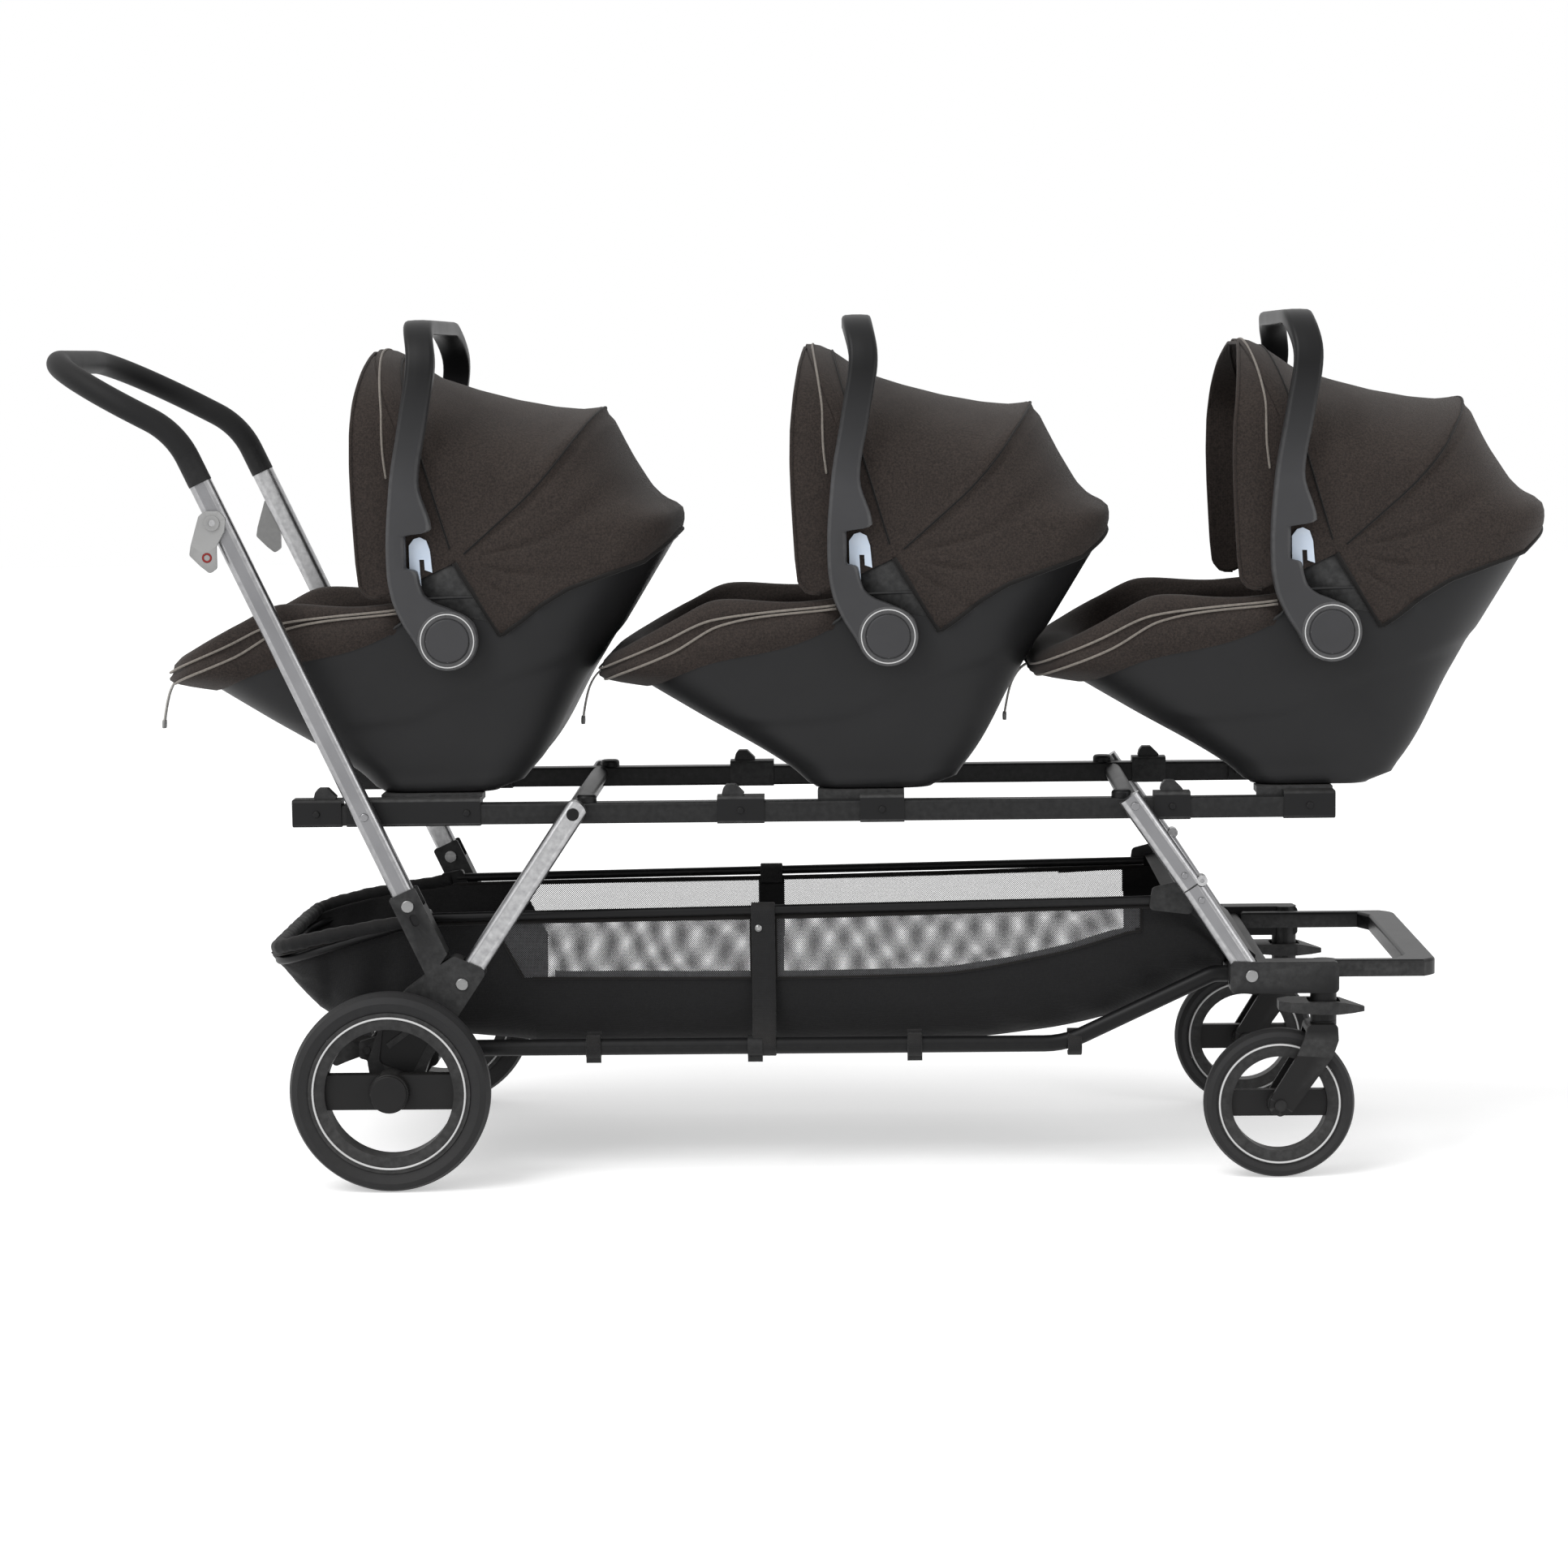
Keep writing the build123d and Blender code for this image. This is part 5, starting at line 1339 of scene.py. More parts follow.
@dataclass
class SeatShell:
    """The moulded bucket shell with its rolled lip and the recess above its foot."""

    finishes: Finishes
    form: BucketForm
    foot: float = 466.5
    rim = Profile((-760, 575), (-705, 596), (-632, 622), (-540, 641), (-477, 668), (-446, 700), (-368, 702),
                  (-330, 702), (-273, 728), (-190, 757), (-120, 762))
    crease = Profile((-700, 560), (-640, 556), (-560, 550), (-473, 556), (-410, 584), (-330, 612),
                     (-245, 640),
                     (-200, 662))
    ear_faces: tuple[float, float] = (190.6, 185.2)

    def wall_inset(self, point: Vector) -> float:
        """Give how far the wall is drawn in at a point, below the soft crease."""
        below = ramp(4.0, -9.0, point.z - self.crease.at(point.x))
        fade = ramp(-650, -560, point.x)
        return 3.2 * below * fade * ramp(470, 492, point.z)

    def build(self) -> bpy.types.Object:
        """Make the shell for the rear seat."""
        form = self.form
        columns = form.columns()
        tops = [form.meet(c, self.rim) for c in range(columns)]
        rows: list[list[Vector]] = []
        steps = 34
        for r in range(steps + 1):
            row = []
            for c in range(columns):
                z = self.foot + (tops[c] - self.foot) * (r / steps) ** 0.9
                point = form.point(c, z, 0.0)
                row.append(form.point(c, z, self.wall_inset(point)))
            rows.append(row)
        lip = ((-1.6, 0.4), (-2.2, 2.0), (-1.2, 3.6), (1.6, 4.2), (4.0, 3.4), (5.2, 1.6), (5.2, -2.0),
               (5.2, -14.0),
               (5.2, -30.0))
        for inset, rise in lip:
            rows.append([form.point(c, tops[c] + rise, inset) for c in range(columns)])
        skin = Skin()
        floor = rows[0]
        centre = Vector((-435, 0, self.foot))
        base = [[centre.lerp(p, share) + Vector((0, 0, rise)) for p in floor]
                for share, rise in ((0.35, 0.0), (0.7, 0.0), (0.9, 0.0), (0.975, 0.4), (0.995, 2.2))]
        skin.grid(base + rows[1:], loop=True)
        skin.fan(base[0], centre)
        for side in (1, -1):
            self.ear(skin, side)
        looks = [self.finishes.shell, self.finishes.black_plastic]
        return skin.build("rear_seat_shell_smooth", looks, weld=0.05)

    def ear(self, skin: Skin, side: int) -> None:
        """Add the tab that carries the canopy's hinge.

        Args:
            skin: The shell's skin.
            side: 1 for the left side, -1 for the right side.
        """
        outline = ((-455, 690), (-455, 736), (-447, 742), (-444, 750), (-436, 757), (-400, 757),
                   (-390, 752), (-384, 735),
                   (-366, 702), (-356, 686), (-356, 672))
        faces = [[Vector((x, side * y, z)) for x, z in outline] for y in self.ear_faces]
        skin.grid(faces, loop=True, zone=1)
        for face, y in zip(faces, self.ear_faces):
            skin.fan(face, Vector((-410, side * y, 722)), zone=1)


@dataclass
class SeatLiner:
    """The padded lining: rolled edge, quilted walls and the cover over the foot end."""

    finishes: Finishes
    form: BucketForm
    shell: SeatShell
    inset: float = 19.0
    edge = Profile((-800, 588), (-745, 622), (-690, 656), (-632, 680), (-560, 689), (-490, 695),
                   (-380, 712),
                   (-300, 732), (-200, 754), (-120, 762))

    def covered(self, x: float) -> float:
        """Give 1 where the cover goes outside over the shell's rim, and 0 behind it."""
        return ramp(-474, -500, x)

    def nose(self, x: float) -> float:
        """Give 1 at the foot end, where the cover is a round nose, and 0 away from it."""
        return ramp(-684, -740, x)

    def thick(self, x: float) -> float:
        """Give how much the padded roll grows over the foot end."""
        return ramp(-520, -660, x)

    def outset(self, x: float, share: float) -> float:
        """Give how far the cover stands outside the wall at a share of its height."""
        share = min(1.0, max(0.0, share))
        round_nose = 21.0 * self.nose(x) * math.sin(math.pi * (0.05 + 0.7 * share))
        return 5.5 * math.sin(math.pi * min(1.0, share * 1.12)) + round_nose

    def lining(self) -> bpy.types.Object:
        """Make the lining of the rear seat."""
        form = self.form
        columns = form.columns()
        rims = [form.meet(c, self.shell.rim) for c in range(columns)]
        tops = [form.meet(c, self.edge) for c in range(columns)]
        rows: list[list[Vector]] = []
        outside = 9
        for r in range(outside):
            share = r / (outside - 1)
            row = []
            for c in range(columns):
                place = form.point(c, tops[c], 0)
                cover = self.covered(place.x)
                start = rims[c] - 2 + (1 - cover) * -12 - 3 * self.nose(place.x)
                end = tops[c] - 8
                z = start + (end - start) * share
                puff = self.outset(place.x, share) * cover
                tuck = 6.0 * (1 - cover)
                ripple = 1.3 * cover * noise.noise(place * 0.03 + Vector((0, 0, share)))
                row.append(form.point(c, z, -1.2 * cover - puff - ripple + tuck))
            rows.append(row)
        arc = 8
        for r in range(1, arc):
            angle = math.pi * r / arc
            row = []
            for c in range(columns):
                place = form.point(c, tops[c], 0)
                cover = self.covered(place.x)
                out = -2.0 * cover + 6.0 * (1 - cover) - self.outset(place.x, 1.0) * cover
                back = self.inset - 3 + 16 * self.thick(place.x)
                inset = (out + back) / 2 - (back - out) / 2 * math.cos(angle)
                crown = 9.5 + 17.0 * self.thick(place.x)
                lift = Vector((0, 0, crown * math.sin(angle)))
                row.append(form.point(c, tops[c] - 8, inset) + lift)
            rows.append(row)
        inside = 24
        for r in range(inside + 1):
            share = r / inside
            row = []
            for c in range(columns):
                z = tops[c] - 8 + (486.5 - tops[c] + 8) * share
                roll = 19 * self.thick(form.point(c, tops[c], 0).x) * ramp(0.3, 0.0, share)
                row.append(form.point(c, z, self.inset + roll - self.quilt(c, z, share)))
            rows.append(row)
        skin = Skin()
        last = rows[-1]
        centre = Vector((-436, 0, 485.6))
        base = [[centre.lerp(p, 1 - s) for p in last] for s in (0.08, 0.3, 0.6, 0.9)]
        skin.grid(rows + base, loop=True)
        skin.fan(base[-1], centre)
        return skin.build("rear_seat_lining", [self.finishes.melange], weld=0.05)

    def quilt(self, column: int, z: float, share: float) -> float:
        """Give how far the quilting swells at a column and height."""
        pitch = self.form.columns() / 14
        across = abs(math.sin(math.pi * column / pitch)) ** 0.55
        upward = abs(math.sin(math.pi * (z - 486) / 62)) ** 0.5
        return 4.5 * min(across, upward) * ramp(0.0, 0.12, share) * ramp(1.0, 0.9, share)

    def piping(self) -> bpy.types.Object:
        """Make the two light cords sewn along the cover's edge."""
        form = self.form
        columns = form.columns()
        skin = Skin()
        rims = [form.meet(c, self.shell.rim) for c in range(columns)]
        for drop, fall in ((7.0, 0.0), (11.0, 9.0)):
            path = []
            for c in (turn % columns for turn in range(-columns // 2, columns // 2)):
                top = form.meet(c, self.edge)
                place = form.point(c, top, 0)
                if place.x > -478:
                    continue
                z = top - drop - fall * ramp(-560, -740, place.x)
                start = rims[c] - 2 - 3 * self.nose(place.x)
                share = (z - start) / (top - 8 - start)
                path.append(form.point(c, z, -2.4 - self.outset(place.x, share)))
            skin.sweep(path, round_profile(1.5))
        return skin.build("rear_cover_piping", [self.finishes.piping], weld=0.05)


@dataclass
class SeatPad:
    """A stuffed pad that lies on one wall of the bucket."""

    name: str
    start: Side
    end: Side
    half: float = 74
    crown: float = 12
    channels: tuple[float, ...] = (0.48,)

    def axes(self) -> tuple[Vector, Vector, float]:
        """Give the pad's run, its outward direction and its length."""
        run = Vector((self.end[0] - self.start[0], 0, self.end[1] - self.start[1]))
        length = run.length
        run.normalize()
        outward = Vector((0, 1, 0)).cross(run)
        if outward.z < 0:
            outward = -outward
        return run, outward, length

    def blank(self, finish: bpy.types.Material) -> bpy.types.Object:
        """Make the pad's closed form before it is stuffed."""
        run, outward, length = self.axes()
        start = Vector((self.start[0], 0, self.start[1]))
        skin = Skin()
        rows: list[list[Vector]] = []
        steps = 20
        for level in range(-6, 7):
            angle = math.pi / 2 * level / 6.5
            shrink, height = math.cos(angle) ** 0.42, math.sin(angle)
            row = []
            for i in range(steps * 4):
                turn = math.tau * i / (steps * 4)
                corner = 0.45
                u = math.copysign(abs(math.cos(turn)) ** corner, math.cos(turn))
                v = math.copysign(abs(math.sin(turn)) ** corner, math.sin(turn))
                pinch = 1 - 0.035 * (u * u * (1 - v * v) + v * v * (1 - u * u))
                along = length / 2 * (1 + u * shrink * 0.96 * pinch)
                lift = 4 + (self.crown * 0.5) * height
                row.append(start + run * along + Vector((0, 1, 0)) * v * shrink * self.half * pinch
                           + outward * lift)
            rows.append(row)
        skin.grid(rows, loop=True)
        skin.fan(rows[0], sum(rows[0], Vector()) / len(rows[0]))
        skin.fan(rows[-1], sum(rows[-1], Vector()) / len(rows[-1]))
        return skin.build(self.name, [finish], weld=0.05)

    def stuff(self, piece: bpy.types.Object, reach: float) -> None:
        """Fill the pad by cloth simulation.

        Args:
            piece: The closed form.
            reach: The furthest that a point may move, in millimetres.
        """
        remesh = piece.modifiers.new("even net", "REMESH")
        remesh.mode = "VOXEL"
        remesh.voxel_size = 5 * MM
        apply_modifiers(piece)
        start = [v.co.copy() for v in piece.data.vertices]
        cloth = piece.modifiers.new("stuffing", "CLOTH")
        cloth.settings.use_pressure = True
        cloth.settings.uniform_pressure_force = 4.0
        cloth.settings.effector_weights.gravity = 0.0
        cloth.settings.tension_stiffness = 12.0
        cloth.point_cache.frame_end = 20
        scene = bpy.context.scene
        for frame in range(1, 21):
            scene.frame_set(frame)
        apply_modifiers(piece)
        scene.frame_set(1)
        for vertex, rest in zip(piece.data.vertices, start):
            move = vertex.co - rest
            if move.length > reach * MM:
                vertex.co = rest + move.normalized() * reach * MM

    def channel(self, piece: bpy.types.Object) -> None:
        """Sew the channels into the stuffed pad."""
        run, outward, length = self.axes()
        start = Vector((self.start[0], 0, self.start[1]))
        for vertex in piece.data.vertices:
            place = vertex.co / MM - start
            share = place.dot(run) / length
            rise = place.dot(outward)
            depth = sum(bump(c, 7.0 / length, share) for c in self.channels)
            depth += 0.8 * (bump(-self.half * 0.42, 6.0, place.y) + bump(self.half * 0.42, 6.0, place.y))
            if rise > 3:
                vertex.co -= outward * min(depth, 1.2) * 4.2 * MM * ramp(3, 9, rise)

    def build(self, finish: bpy.types.Material) -> bpy.types.Object:
        """Make, stuff and sew the pad in its finish."""
        piece = self.blank(finish)
        self.stuff(piece, 8.0)
        refine(piece)
        self.channel(piece)
        for face in piece.data.polygons:
            face.use_smooth = True
        if not piece.data.materials:
            piece.data.materials.append(finish)
        return piece


@dataclass
class Canopy:
    """The hood: one cloth stretched in a fan of arches over its hinge."""

    finishes: Finishes
    pivot: Side = (-408.6, 744.8)
    half: float = 193.3
    soft_half: float = 191.0
    soft_reach: float = 3.4
    shoulder: float = 112.0
    seam_angle: float = 45.0
    front_seam: float = 106.5
    seam_start: float = 0.06
    rear_angle: float = 6.7
    front_angle: float = 112.4
    columns: int = 44
    roof = (
        (-760, 560), (-760, 1004), (-560, 1001), (-498, 1000), (-470, 984), (-443, 965), (-395, 949),
        (-347, 936), (-300, 927),
        (-262, 923.5), (-248, 926), (-238, 925), (-230, 916), (-205, 866), (-182, 827), (-165, 810),
        (-148, 800),
        (-145, 776), (-145, 600), (-145, 300))
    front_edge = (
        (-512, 1004), (-520, 975), (-525, 940), (-529, 900), (-530, 860), (-529, 820), (-527, 780),
        (-525, 744),
        (-522, 716), (-512, 704), (-478, 703), (-450, 706))
    lower_edge = (
        (-140, 778), (-160, 760), (-181, 743), (-225, 729), (-273, 712), (-305, 693), (-332, 672),
        (-352, 658),
        (-372, 654), (-380, 670))

    def ray(self, angle: float, line: Sequence[Side]) -> float:
        """Find how far a ray from the hinge runs to a line.

        Args:
            angle: The ray's angle in degrees.
            line: The line's points in side view.

        Returns:
            The distance in millimetres, or 0 where the ray misses the line.
        """
        dx, dz = math.cos(math.radians(angle)), math.sin(math.radians(angle))
        px, pz = self.pivot
        found = 0.0
        for (ax, az), (bx, bz) in zip(line, line[1:]):
            ex, ez = bx - ax, bz - az
            cross = dx * ez - dz * ex
            if abs(cross) < 1e-9:
                continue
            reach = ((ax - px) * ez - (az - pz) * ex) / cross
            share = ((ax - px) * dz - (az - pz) * dx) / cross
            if -1e-6 <= share <= 1 + 1e-6 and reach > 0:
                found = max(found, reach)
        return found

    def top(self, angle: float) -> float:
        """Give the arch's height from the hinge at an angle."""
        wide = [self.ray(angle + d, self.roof) for d in (-1.0, 0.0, 1.0)]
        return sum(wide) / 3 if min(wide) > 0 else wide[1]

    def squareness(self, angle: float) -> float:
        """Give the power of the arch's rounded shoulder at an angle."""
        return 2.05 + 0.9 * ramp(38.0, 12.0, angle)

    def arch(self, angle: float, share: float) -> tuple[float, float]:
        """Give a point of the half arch.

        Args:
            angle: The arch's angle in degrees.
            share: 0 at the hinge, 1 at the middle of the roof.

        Returns:
            The distance from the hinge and the place across.
        """
        top = self.top(angle)
        power = self.squareness(angle)
        shoulder = min(self.shoulder, top * 0.5)
        if share <= 0.5:
            return (top - shoulder) * share * 2, self.half
        turn = (share - 0.5) * math.pi
        reach = top - shoulder + shoulder * math.sin(turn) ** (2 / power)
        return reach, self.half * max(0.0, math.cos(turn)) ** (2 / power)

    def share_at(self, angle: float, reach: float) -> float:
        """Find the share of the half arch at a distance from the hinge."""
        low, high = 0.0, 1.0
        for _ in range(24):
            middle = (low + high) / 2
            if self.arch(angle, middle)[0] < reach:
                low = middle
            else:
                high = middle
        return high

    def point(self, angle: float, share: float, side: float) -> Vector:
        """Give a point of the stretched cloth.

        Args:
            angle: The arch's angle in degrees.
            share: 0 at the hinge, 1 at the middle of the roof.
            side: 1 for the left side, -1 for the right side.

        Returns:
            The point with its folds.
        """
        reach, across = self.arch(angle, share)
        turn = math.radians(angle)
        x = self.pivot[0] + reach * math.cos(turn)
        z = self.pivot[1] + reach * math.sin(turn)
        return self.crease(Vector((x, side * across, z)), angle, reach, share, side)

    def crease(self, point: Vector, angle: float, reach: float, share: float, side: float) -> Vector:
        """Add folds, seams and the tucked hem to a point of the cloth.

        Args:
            point: The point on the smooth form.
            angle: Its angle in degrees.
            reach: Its distance from the hinge.
            share: Its share of the half arch.
            side: 1 for the left side, -1 for the right side.

        Returns:
            The moved point.
        """
        turn = math.radians(angle)
        outward = Vector((0, side, 0))
        if share > 0.5:
            lean = (share - 0.5) * 2
            radial = Vector((math.cos(turn), 0, math.sin(turn)))
            outward = (outward * (1 - lean) + radial * lean).normalized()
        rise = 0.0
        flank = ramp(20, 70, reach)
        open_side = 1 - ramp(0.75, 0.95, share)
        if angle < self.seam_angle:
            swirl = angle + 5.0 * math.sin(reach * 0.021)
            rise += 2.6 * flank * open_side * math.sin(math.radians(swirl) * 15) * ramp(44, 30, angle)
            rise += 1.6 * flank * open_side * math.sin(math.radians(swirl) * 31 + 1.0) * ramp(250, 120,
                                                                                              reach)
            rise += 1.6 * flank * open_side
        else:
            slack = math.sin(math.pi * min(1.0, (angle - self.seam_angle) / (104 - self.seam_angle)))
            swirl = angle + 4.0 * math.sin(reach * 0.016 + 1.0)
            rise += 1.2 * flank * open_side * slack * math.sin(math.radians(swirl) * 16)
            rise -= 1.2 * flank * slack * open_side
        rise += 0.8 * flank * noise.noise(point * 0.018)
        seam = self.seam_bend(reach)
        rise += 2.4 * bump(seam + 1.2, 1.3, angle) * ramp(6, 60, reach)
        rise -= 2.2 * bump(seam - 1.4, 2.4, angle) * ramp(20, 90, reach)
        rise += 1.6 * bump(self.front_seam, 1.4, angle) * ramp(6, 60, reach)
        moved = point + outward * rise
        hem = self.hem_depth(point)
        if hem < 46 and angle < 20:
            puff = math.sin(math.pi * min(1.0, hem / 46))
            moved += outward * (3.6 * puff)
            if hem < 8:
                moved -= outward * (2.0 * (1 - hem / 8))
        over = abs(moved.y) - self.soft_half
        if over > 0:
            eased = self.soft_reach * (1 - math.exp(-over / self.soft_reach))
            moved.y = math.copysign(self.soft_half + eased, moved.y)
        return moved

    def seam_bend(self, reach: float) -> float:
        """Give the angle of the rear stay's seam at a distance from the hinge."""
        return 40.4 + 5.4 * ramp(100, 252, reach)

    def hem_depth(self, point: Vector) -> float:
        """Give how far a point is from the lower rear edge in side view."""
        best = 400.0
        for (ax, az), (bx, bz) in zip(self.lower_edge, self.lower_edge[1:]):
            ex, ez = bx - ax, bz - az
            t = max(0.0, min(1.0, ((point.x - ax) * ex + (point.z - az) * ez) / (ex * ex + ez * ez)))
            best = min(best, math.hypot(point.x - ax - t * ex, point.z - az - t * ez))
        return best

    def edge_share(self, angle: float, line: Sequence[Side]) -> float:
        """Give the share of the half arch where a ray leaves the cloth over an edge line."""
        return self.share_at(angle, min(self.ray(angle, line), self.top(angle)))

    def cloth(self) -> bpy.types.Object:
        """Make the stretched cloth of the rear seat."""
        skin = Skin()
        count = 64
        spread = self.front_angle - self.rear_angle
        angles = [self.rear_angle + spread * i / count for i in range(count + 1)]
        extra = [self.seam_angle + d for d in (-4.6, -3.4, 1.6, 2.6)] + [42.0, 41.0, 106.0, 107.0]
        angles = sorted(angles + extra)
        shares = [i / self.columns for i in range(self.columns + 1)]
        rows = []
        for angle in angles:
            left = [self.point(angle, share, 1) for share in shares]
            right = [self.point(angle, share, -1) for share in shares]
            rows.append(left + right[-2::-1])
        skin.grid(rows)
        front = [self.front_angle + 0.6 * i for i in range(12)]
        front += [self.front_angle + 7.2 + 2.6 * i for i in range(36)]
        rear = [self.rear_angle - 0.35 * i for i in range(25)]
        rear += [self.rear_angle - 9.0 - 2.0 * i for i in range(29)]
        for side in (1, -1):
            for fan_angles, line in ((front, self.front_edge), (rear, self.lower_edge)):
                fan_rows = []
                for i, angle in enumerate(fan_angles):
                    limit = 1.0 if i == 0 else self.edge_share(angle, line)
                    if limit < 0.03:
                        continue
                    fan_rows.append([self.point(angle, share * limit, side) for share in shares])
                skin.grid(fan_rows)
        return skin.build("rear_canopy_cloth", [self.finishes.melange], weld=0.08)

    def edge_path(self, angles: Sequence[float], line: Sequence[Side], side: int) -> list[Vector]:
        """Give the points of the cloth's free edge over some angles."""
        return [self.point(angle, self.edge_share(angle, line), side) for angle in angles]

    def trim(self) -> bpy.types.Object:
        """Make the piping of the front edge, the sewn folds and the rolled lower hem."""
        skin = Skin()
        angles = [205 - 2.4 * i for i in range(34)] + [122.5 - 0.8 * i for i in range(13)]
        left = self.edge_path(angles, self.front_edge, 1)
        right = self.edge_path(angles, self.front_edge, -1)
        skin.sweep(left + right[::-1], round_profile(2.1), zone=2)
        second = ((0.30, 128.0), (0.40, 122.5), (0.5, 118.0), (0.58, 115.0), (0.66, 113.2),
                  (0.75, 112.0), (0.85, 111.3), (0.93, 111.0), (1.0, 110.8))
        half = [self.point(angle, share, 1) for share, angle in second]
        skin.sweep(smooth_line(mirrored(half), 6), round_profile(1.5))
        shares = [self.seam_start + (1 - self.seam_start) * i / 39 for i in range(40)]
        rear_seam = [(self.seam_bend(self.arch(43.0, share)[0]) + 0.9, share) for share in shares]
        for seam in (rear_seam, [(self.front_seam, share) for share in shares]):
            left, right = ([self.point(angle, share, side) for angle, share in seam] for side in (1, -1))
            skin.sweep(left + right[-2::-1], round_profile(1.3), zone=1)
        lower = [-61.0 + 2.0 * i for i in range(30)] + [-1.5 + 0.35 * i for i in range(24)]
        left = self.edge_path(lower, self.lower_edge, 1)
        right = self.edge_path(lower, self.lower_edge, -1)
        skin.sweep(left + right[::-1], round_profile(3.0), zone=1)
        looks = [self.finishes.piping, self.finishes.seam, self.finishes.melange]
        return skin.build("rear_canopy_trim", looks, weld=0.05)


@dataclass
class CarryHandle:
    """The moulded carry handle: a bevelled band over the seat that widens into its hubs."""

    finishes: Finishes
    inner: float = 196.6
    outer: float = 216.0
    top_out: float = 1034.0
    top_in: float = 1017.0
    hub: Side = (-416.3, 652.9)
    left_edge = Profile((617, -417), (622, -436), (632, -446), (649, -455), (677, -472), (705, -483),
                        (735, -487.5),
                        (760, -488), (835, -483), (915, -470), (985, -460), (1034, -469))
    right_edge = Profile((617, -415), (621, -398), (630, -388), (640, -382.6), (652.9, -380.3), (668, -383),
                         (680, -392), (690, -412), (699, -434), (708, -444), (722, -449), (736, -452),
                         (740, -465),
                         (778, -465), (782, -440), (786, -434), (840, -448), (915, -436), (985, -426),
                         (1034, -434))

    def slice_at(self, middle: Vector, outward: Vector, height: float, thick: float) -> list[Vector]:
        """Give one cross-section of the band.

        Args:
            middle: The band's middle in the YZ plane.
            outward: The direction of its outer face.
            height: The height that the edges are read at.
            thick: The band's thickness.

        Returns:
            The ring of points.
        """
        left, right = self.left_edge.at(height), self.right_edge.at(height)
        width = right - left
        bevel = min(4.2, width * 0.24)
        t = thick / 2
        profile = [(0.0, t - bevel), (bevel * 0.3, t - bevel * 0.35), (bevel, t), (bevel + 1.5, t),
                   (width * 0.35, t + 0.5), (width * 0.65, t + 0.5), (width - bevel - 1.5, t),
                   (width - bevel, t),
                   (width - bevel * 0.3, t - bevel * 0.35), (width, t - bevel),
                   (width, -t + 2.0), (width - 0.6, -t + 0.6), (width - 2.0, -t), (width / 2, -t),
                   (2.0, -t),
                   (0.6, -t + 0.6), (0.0, -t + 2.0)]
        return [Vector((left + across, 0, 0)) + middle + outward * out for across, out in profile]

    def build(self) -> bpy.types.Object:
        """Make the carry handle of the rear seat."""
        side_thick = self.outer - self.inner
        top_thick = self.top_out - self.top_in
        side_mid = (self.outer + self.inner) / 2
        top_mid = (self.top_out + self.top_in) / 2
        corner = 76.0
        heights = [617.4, 618.5, 620.0, 622.0, 625.0, 629.0, 634.0, 640.0, 646.0, 653.0, 660.0, 667.0,
                   673.0, 679.0,
                   684.0, 688.0, 692.0, 697.0, 702.0, 708.0, 712.0, 716.0, 722.0, 729.0, 735.0, 737.0,
                   739.0, 741.0, 750.0,
                   760.0, 770.0, 776.0, 778.0, 779.5, 781.0, 783.0, 786.0, 792.0, 800.0]
        heights += [812.0 + 10.0 * i for i in range(14)]
        rings = []
        for z in heights:
            rings.append(self.slice_at(Vector((0, side_mid, z)), Vector((0, 1, 0)), z, side_thick))
        bend_z = top_mid - corner
        bend_y = side_mid - corner
        for step in range(15):
            angle = math.pi / 2 * step / 14
            outward = Vector((0, math.cos(angle), math.sin(angle)))
            middle = Vector((0, bend_y, bend_z)) + outward * corner
            thick = side_thick + (top_thick - side_thick) * step / 14
            rings.append(self.slice_at(middle, outward, middle.z + 6 * step / 14, thick))
        for step in range(1, 8):
            middle = Vector((0, bend_y * (1 - step / 7), top_mid))
            rings.append(self.slice_at(middle, Vector((0, 0, 1)), 1034, top_thick))
        rings += [[Vector((p.x, -p.y, p.z)) for p in ring] for ring in rings[-2::-1]]
        skin = Skin()
        skin.grid(rings, loop=True)
        for ring in (rings[0], rings[-1]):
            skin.fan(ring, sum(ring, Vector()) / len(ring))
        for side in (1, -1):
            centre = Vector((self.hub[0], side * self.outer, self.hub[1]))
            collar = [(26.6, -3.0), (26.6, 0.5), (27.6, 1.1), (34.4, 1.1), (35.6, 0.2), (35.9, -3.0)]
            skin.turn(centre, Vector((0, side, 0)), collar, 64)
            ring_line = [(31.2, 1.0), (31.3, 1.5), (32.5, 1.5), (32.6, 1.0)]
            skin.turn(centre, Vector((0, side, 0)), ring_line, 72, zone=1)
        return skin.build("rear_carry_handle_smooth", [self.finishes.arm, self.finishes.ring], weld=0.05)


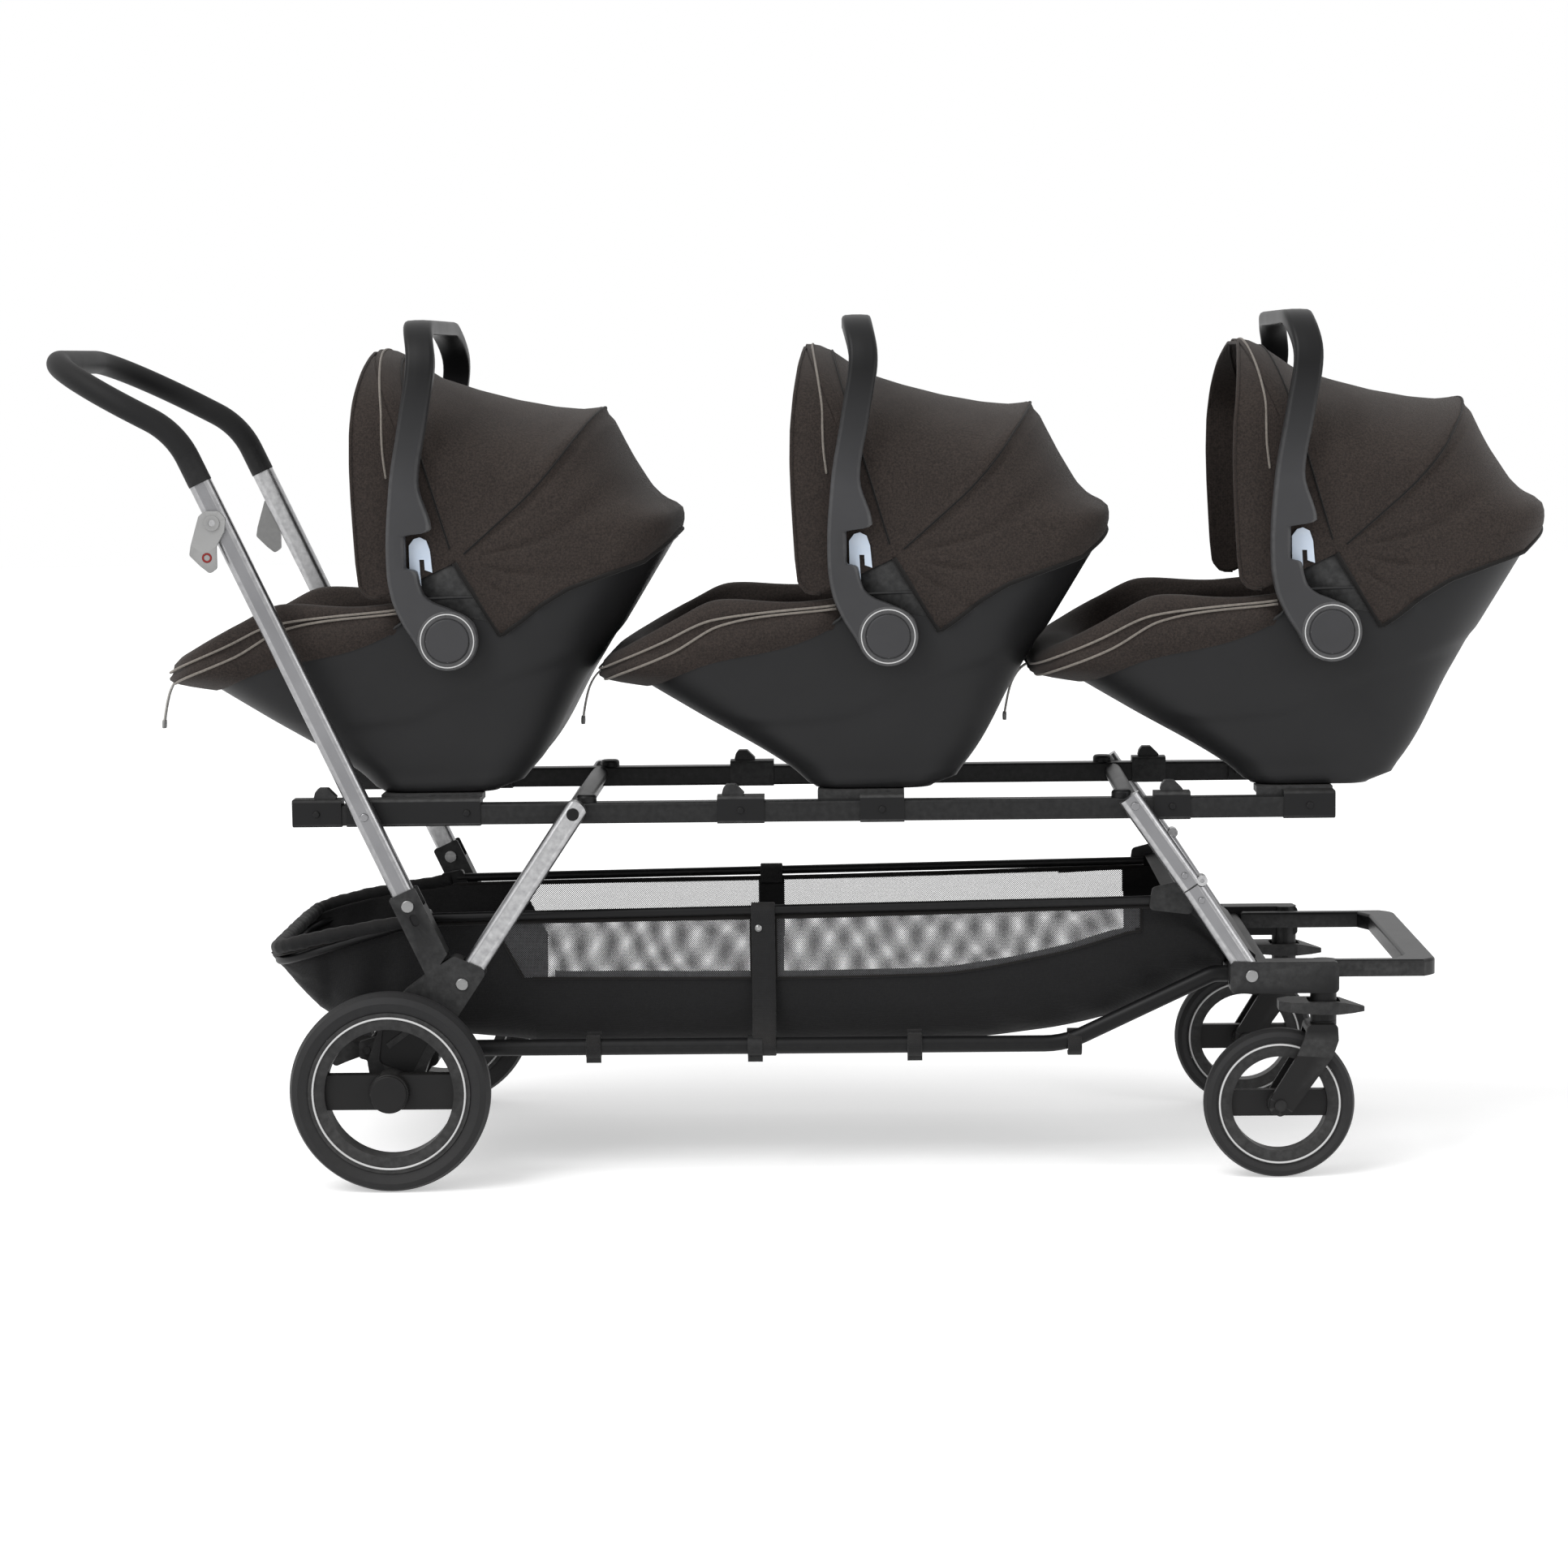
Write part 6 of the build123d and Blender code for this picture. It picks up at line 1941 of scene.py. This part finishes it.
@dataclass
class Harness:
    """The seat's belt: shoulder straps with pads, the buckle with its crotch strap, and the adjuster tail."""

    finishes: Finishes
    strap_y: float = 48.0
    strap_half: float = 14.0
    tail_route = ((-736, 0, 605), (-752, 0, 607), (-764, 0, 605), (-778, 0, 598), (-789, 0, 582),
                  (-795, 0, 560),
                  (-798, 0, 541))
    tail_half: float = 6.0
    tail_thick: float = 2.4

    def straps(self) -> bpy.types.Object:
        """Make the straps and the buckle of the rear seat."""
        skin = Skin()
        across = Vector((0, 1, 0))
        for side in (1, -1):
            y = side * self.strap_y
            path = [Vector((-244, y, 655)), Vector((-270, y, 646)), Vector((-300, y, 632)),
                    Vector((-340, y * 0.92, 598)), Vector((-378, y * 0.75, 566)),
                    Vector((-410, y * 0.5, 556)), Vector((-440, y * 0.28, 552))]
            skin.sweep(smooth_line(path, 10), strap_profile(self.strap_half, 2.0), side=across)
            pad = smooth_line(path[1:4], 10)
            padded = [(a * 1.45, b * 3.2) for a, b in strap_profile(self.strap_half, 2.6)]
            skin.sweep(pad, padded, side=across, zone=1,
                       taper=lambda s: 0.72 + 0.28 * math.sin(math.pi * min(1.0, max(0.0, s))) ** 0.4)
        crotch = [Vector((-457, 0, 486.5)), Vector((-460, 0, 515)), Vector((-464, 0, 545))]
        skin.sweep(smooth_line(crotch, 8), strap_profile(self.strap_half, 2.0), side=across)
        body = [Vector((-440 - 44 * share, 0, 559 - 13 * share)) for share in (0.0, 0.12, 0.5, 0.88, 1.0)]
        skin.sweep(body, strap_profile(20.0, 15.0), side=across, zone=2,
                   taper=lambda s: 0.7 + 0.3 * math.sin(math.pi * s) ** 0.5)
        button = [(0.01, 3.2), (7.0, 3.0), (8.0, 2.2), (8.4, 0.0)]
        skin.turn(Vector((-462, 0, 558)), Vector((-0.28, 0, 0.96)), button, 24, zone=3)
        f = self.finishes
        return skin.build("rear_belt", [f.webbing, f.lining, f.black_plastic, f.red], weld=0.05)

    def tail(self, name: str, shift: float) -> None:
        """Make the adjuster strap that hangs from the foot of one seat.

        Args:
            name: The seat's name.
            shift: How far along the row the seat stands, in millimetres.
        """
        guide = bpy.data.curves.new(f"{name}_tail_route", "CURVE")
        guide.dimensions = "3D"
        guide.resolution_u = 8
        spline = guide.splines.new("NURBS")
        spline.points.add(len(self.tail_route) - 1)
        for spot, (x, y, z) in zip(spline.points, self.tail_route):
            spot.co = ((x + shift) * MM, y * MM, z * MM, 1.0)
        spline.order_u = 3
        spline.use_endpoint_u = True
        holder = bpy.data.objects.new(f"{name}_tail_route", guide)
        bpy.context.scene.collection.objects.link(holder)
        line = bpy.data.meshes.new_from_object(holder)
        points = [v.co.copy() / MM for v in line.vertices]
        bpy.data.objects.remove(holder)
        bpy.data.meshes.remove(line)
        skin = Skin()
        skin.sweep(points, strap_profile(self.tail_half, self.tail_thick), side=Vector((0, 1, 0)))
        piece = skin.build(f"{name}_adjuster_tail", [self.finishes.pale_webbing])
        stop = Skin()
        end = points[-1]
        path = [end + Vector((0, 0, 1.0)), end + Vector((-0.2, 0, -2.0)), end + Vector((-0.3, 0, -6.0)),
                end + Vector((-0.3, 0, -9.0))]
        stop.sweep(path, strap_profile(self.tail_half + 1.0, self.tail_thick + 2.6), side=Vector((0, 1, 0)),
                   taper=lambda s: 0.86 + 0.14 * math.sin(math.pi * s))
        tab = stop.build(f"{name}_adjuster_stop", [self.finishes.grey_plastic])
        length = sum((b - a).length for a, b in zip(points, points[1:])) * MM
        body = f"{name}_seat"
        for made, slot in ((piece, "webbing"), (tab, "black_plastic")):
            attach(made, body)
        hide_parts(f"{name}_harness")


@dataclass
class SeatRow:
    """Three seats of one make, built once and set along the row."""

    finishes: Finishes

    def spread(self, piece: bpy.types.Object, label: str, slot: str, part: str,
               node: str | None) -> list[bpy.types.Object]:
        """Set a piece of the rear seat on all three seats.

        Args:
            piece: The piece, made for the rear seat.
            label: Its name without the seat's.
            slot: The record's material slot; not used.
            part: The body that it rides on, without the seat's name, or empty for none.
            node: The node that it replaces, without the seat's name.

        Returns:
            The three pieces.
        """
        made = []
        for i, name in enumerate(SEAT_NAMES):
            twin = piece if i == 0 else copy_piece(piece, f"{name}_{label}", i * SEAT_PITCH)
            twin.name = f"{name}_{label}"
            if node:
                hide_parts(f"{name}_{node}")
            if part:
                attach(twin, f"{name}_{part}")
            made.append(twin)
        return made

    def build(self) -> None:
        """Make the seats' pieces."""
        f = self.finishes
        form = BucketForm()
        shell = SeatShell(f, form)
        self.spread(shell.build(), "bucket", "charcoal_plastic", "seat", "seat_shell")
        LOG.info("seat shells made")
        liner = SeatLiner(f, form, shell)
        for piece in self.spread(liner.lining(), "lining", "brown_fabric", "seat", "seat_liner"):
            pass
        self.spread(liner.piping(), "cover_piping", "brown_fabric", "seat", None)
        pads = (SeatPad("rear_back_pad", start=(-352, 503.5), end=(-257, 636)),
                SeatPad("rear_leg_pad", start=(-660, 581), end=(-500, 500.5)))
        for pad, label in zip(pads, ("back_pad", "leg_pad")):
            for piece in self.spread(pad.build(f.lining), label, "brown_fabric", "seat", "seat_liner"):
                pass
        LOG.info("linings and pads made")
        self.canopies()
        self.spread(CarryHandle(f).build(), "handle_band", "black_plastic", "carry_handle", "carry_handle")
        belt = Harness(f)
        self.spread(belt.straps(), "belt", "webbing", "seat", "harness")
        for i, name in enumerate(SEAT_NAMES):
            belt.tail(name, i * SEAT_PITCH)
        LOG.info("handles and belts made")

    def canopies(self) -> None:
        """Make the three hoods in place of the canopy nodes and bake their transforms."""
        hood = Canopy(self.finishes)
        cloth = hood.cloth()
        area = cloth_area(cloth)
        thicken(cloth, 2.0)
        trims = self.spread(hood.trim(), "canopy_trim", "brown_fabric", "", None)
        cloths = self.spread(cloth, "canopy_cloth", "brown_fabric", "", "canopy")
        for i, (piece, trim) in enumerate(zip(cloths, trims)):
            for part in (piece, trim):
                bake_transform(part)
        LOG.info("canopies made")


def main() -> None:
    """Build the scene piece by piece."""
    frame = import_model()
    finishes = Finishes()
    Studio().build(finishes)
    FrameFinish(finishes).dress(frame["nodes"])
    LOG.info("frame dressed")
    WheelRings(finishes).build()
    LeverRings(finishes).build(frame["nodes"])
    Basket(finishes).build()
    SeatRow(finishes).build()


if __name__ == "__main__":
    logging.basicConfig(level=logging.INFO)
    main()
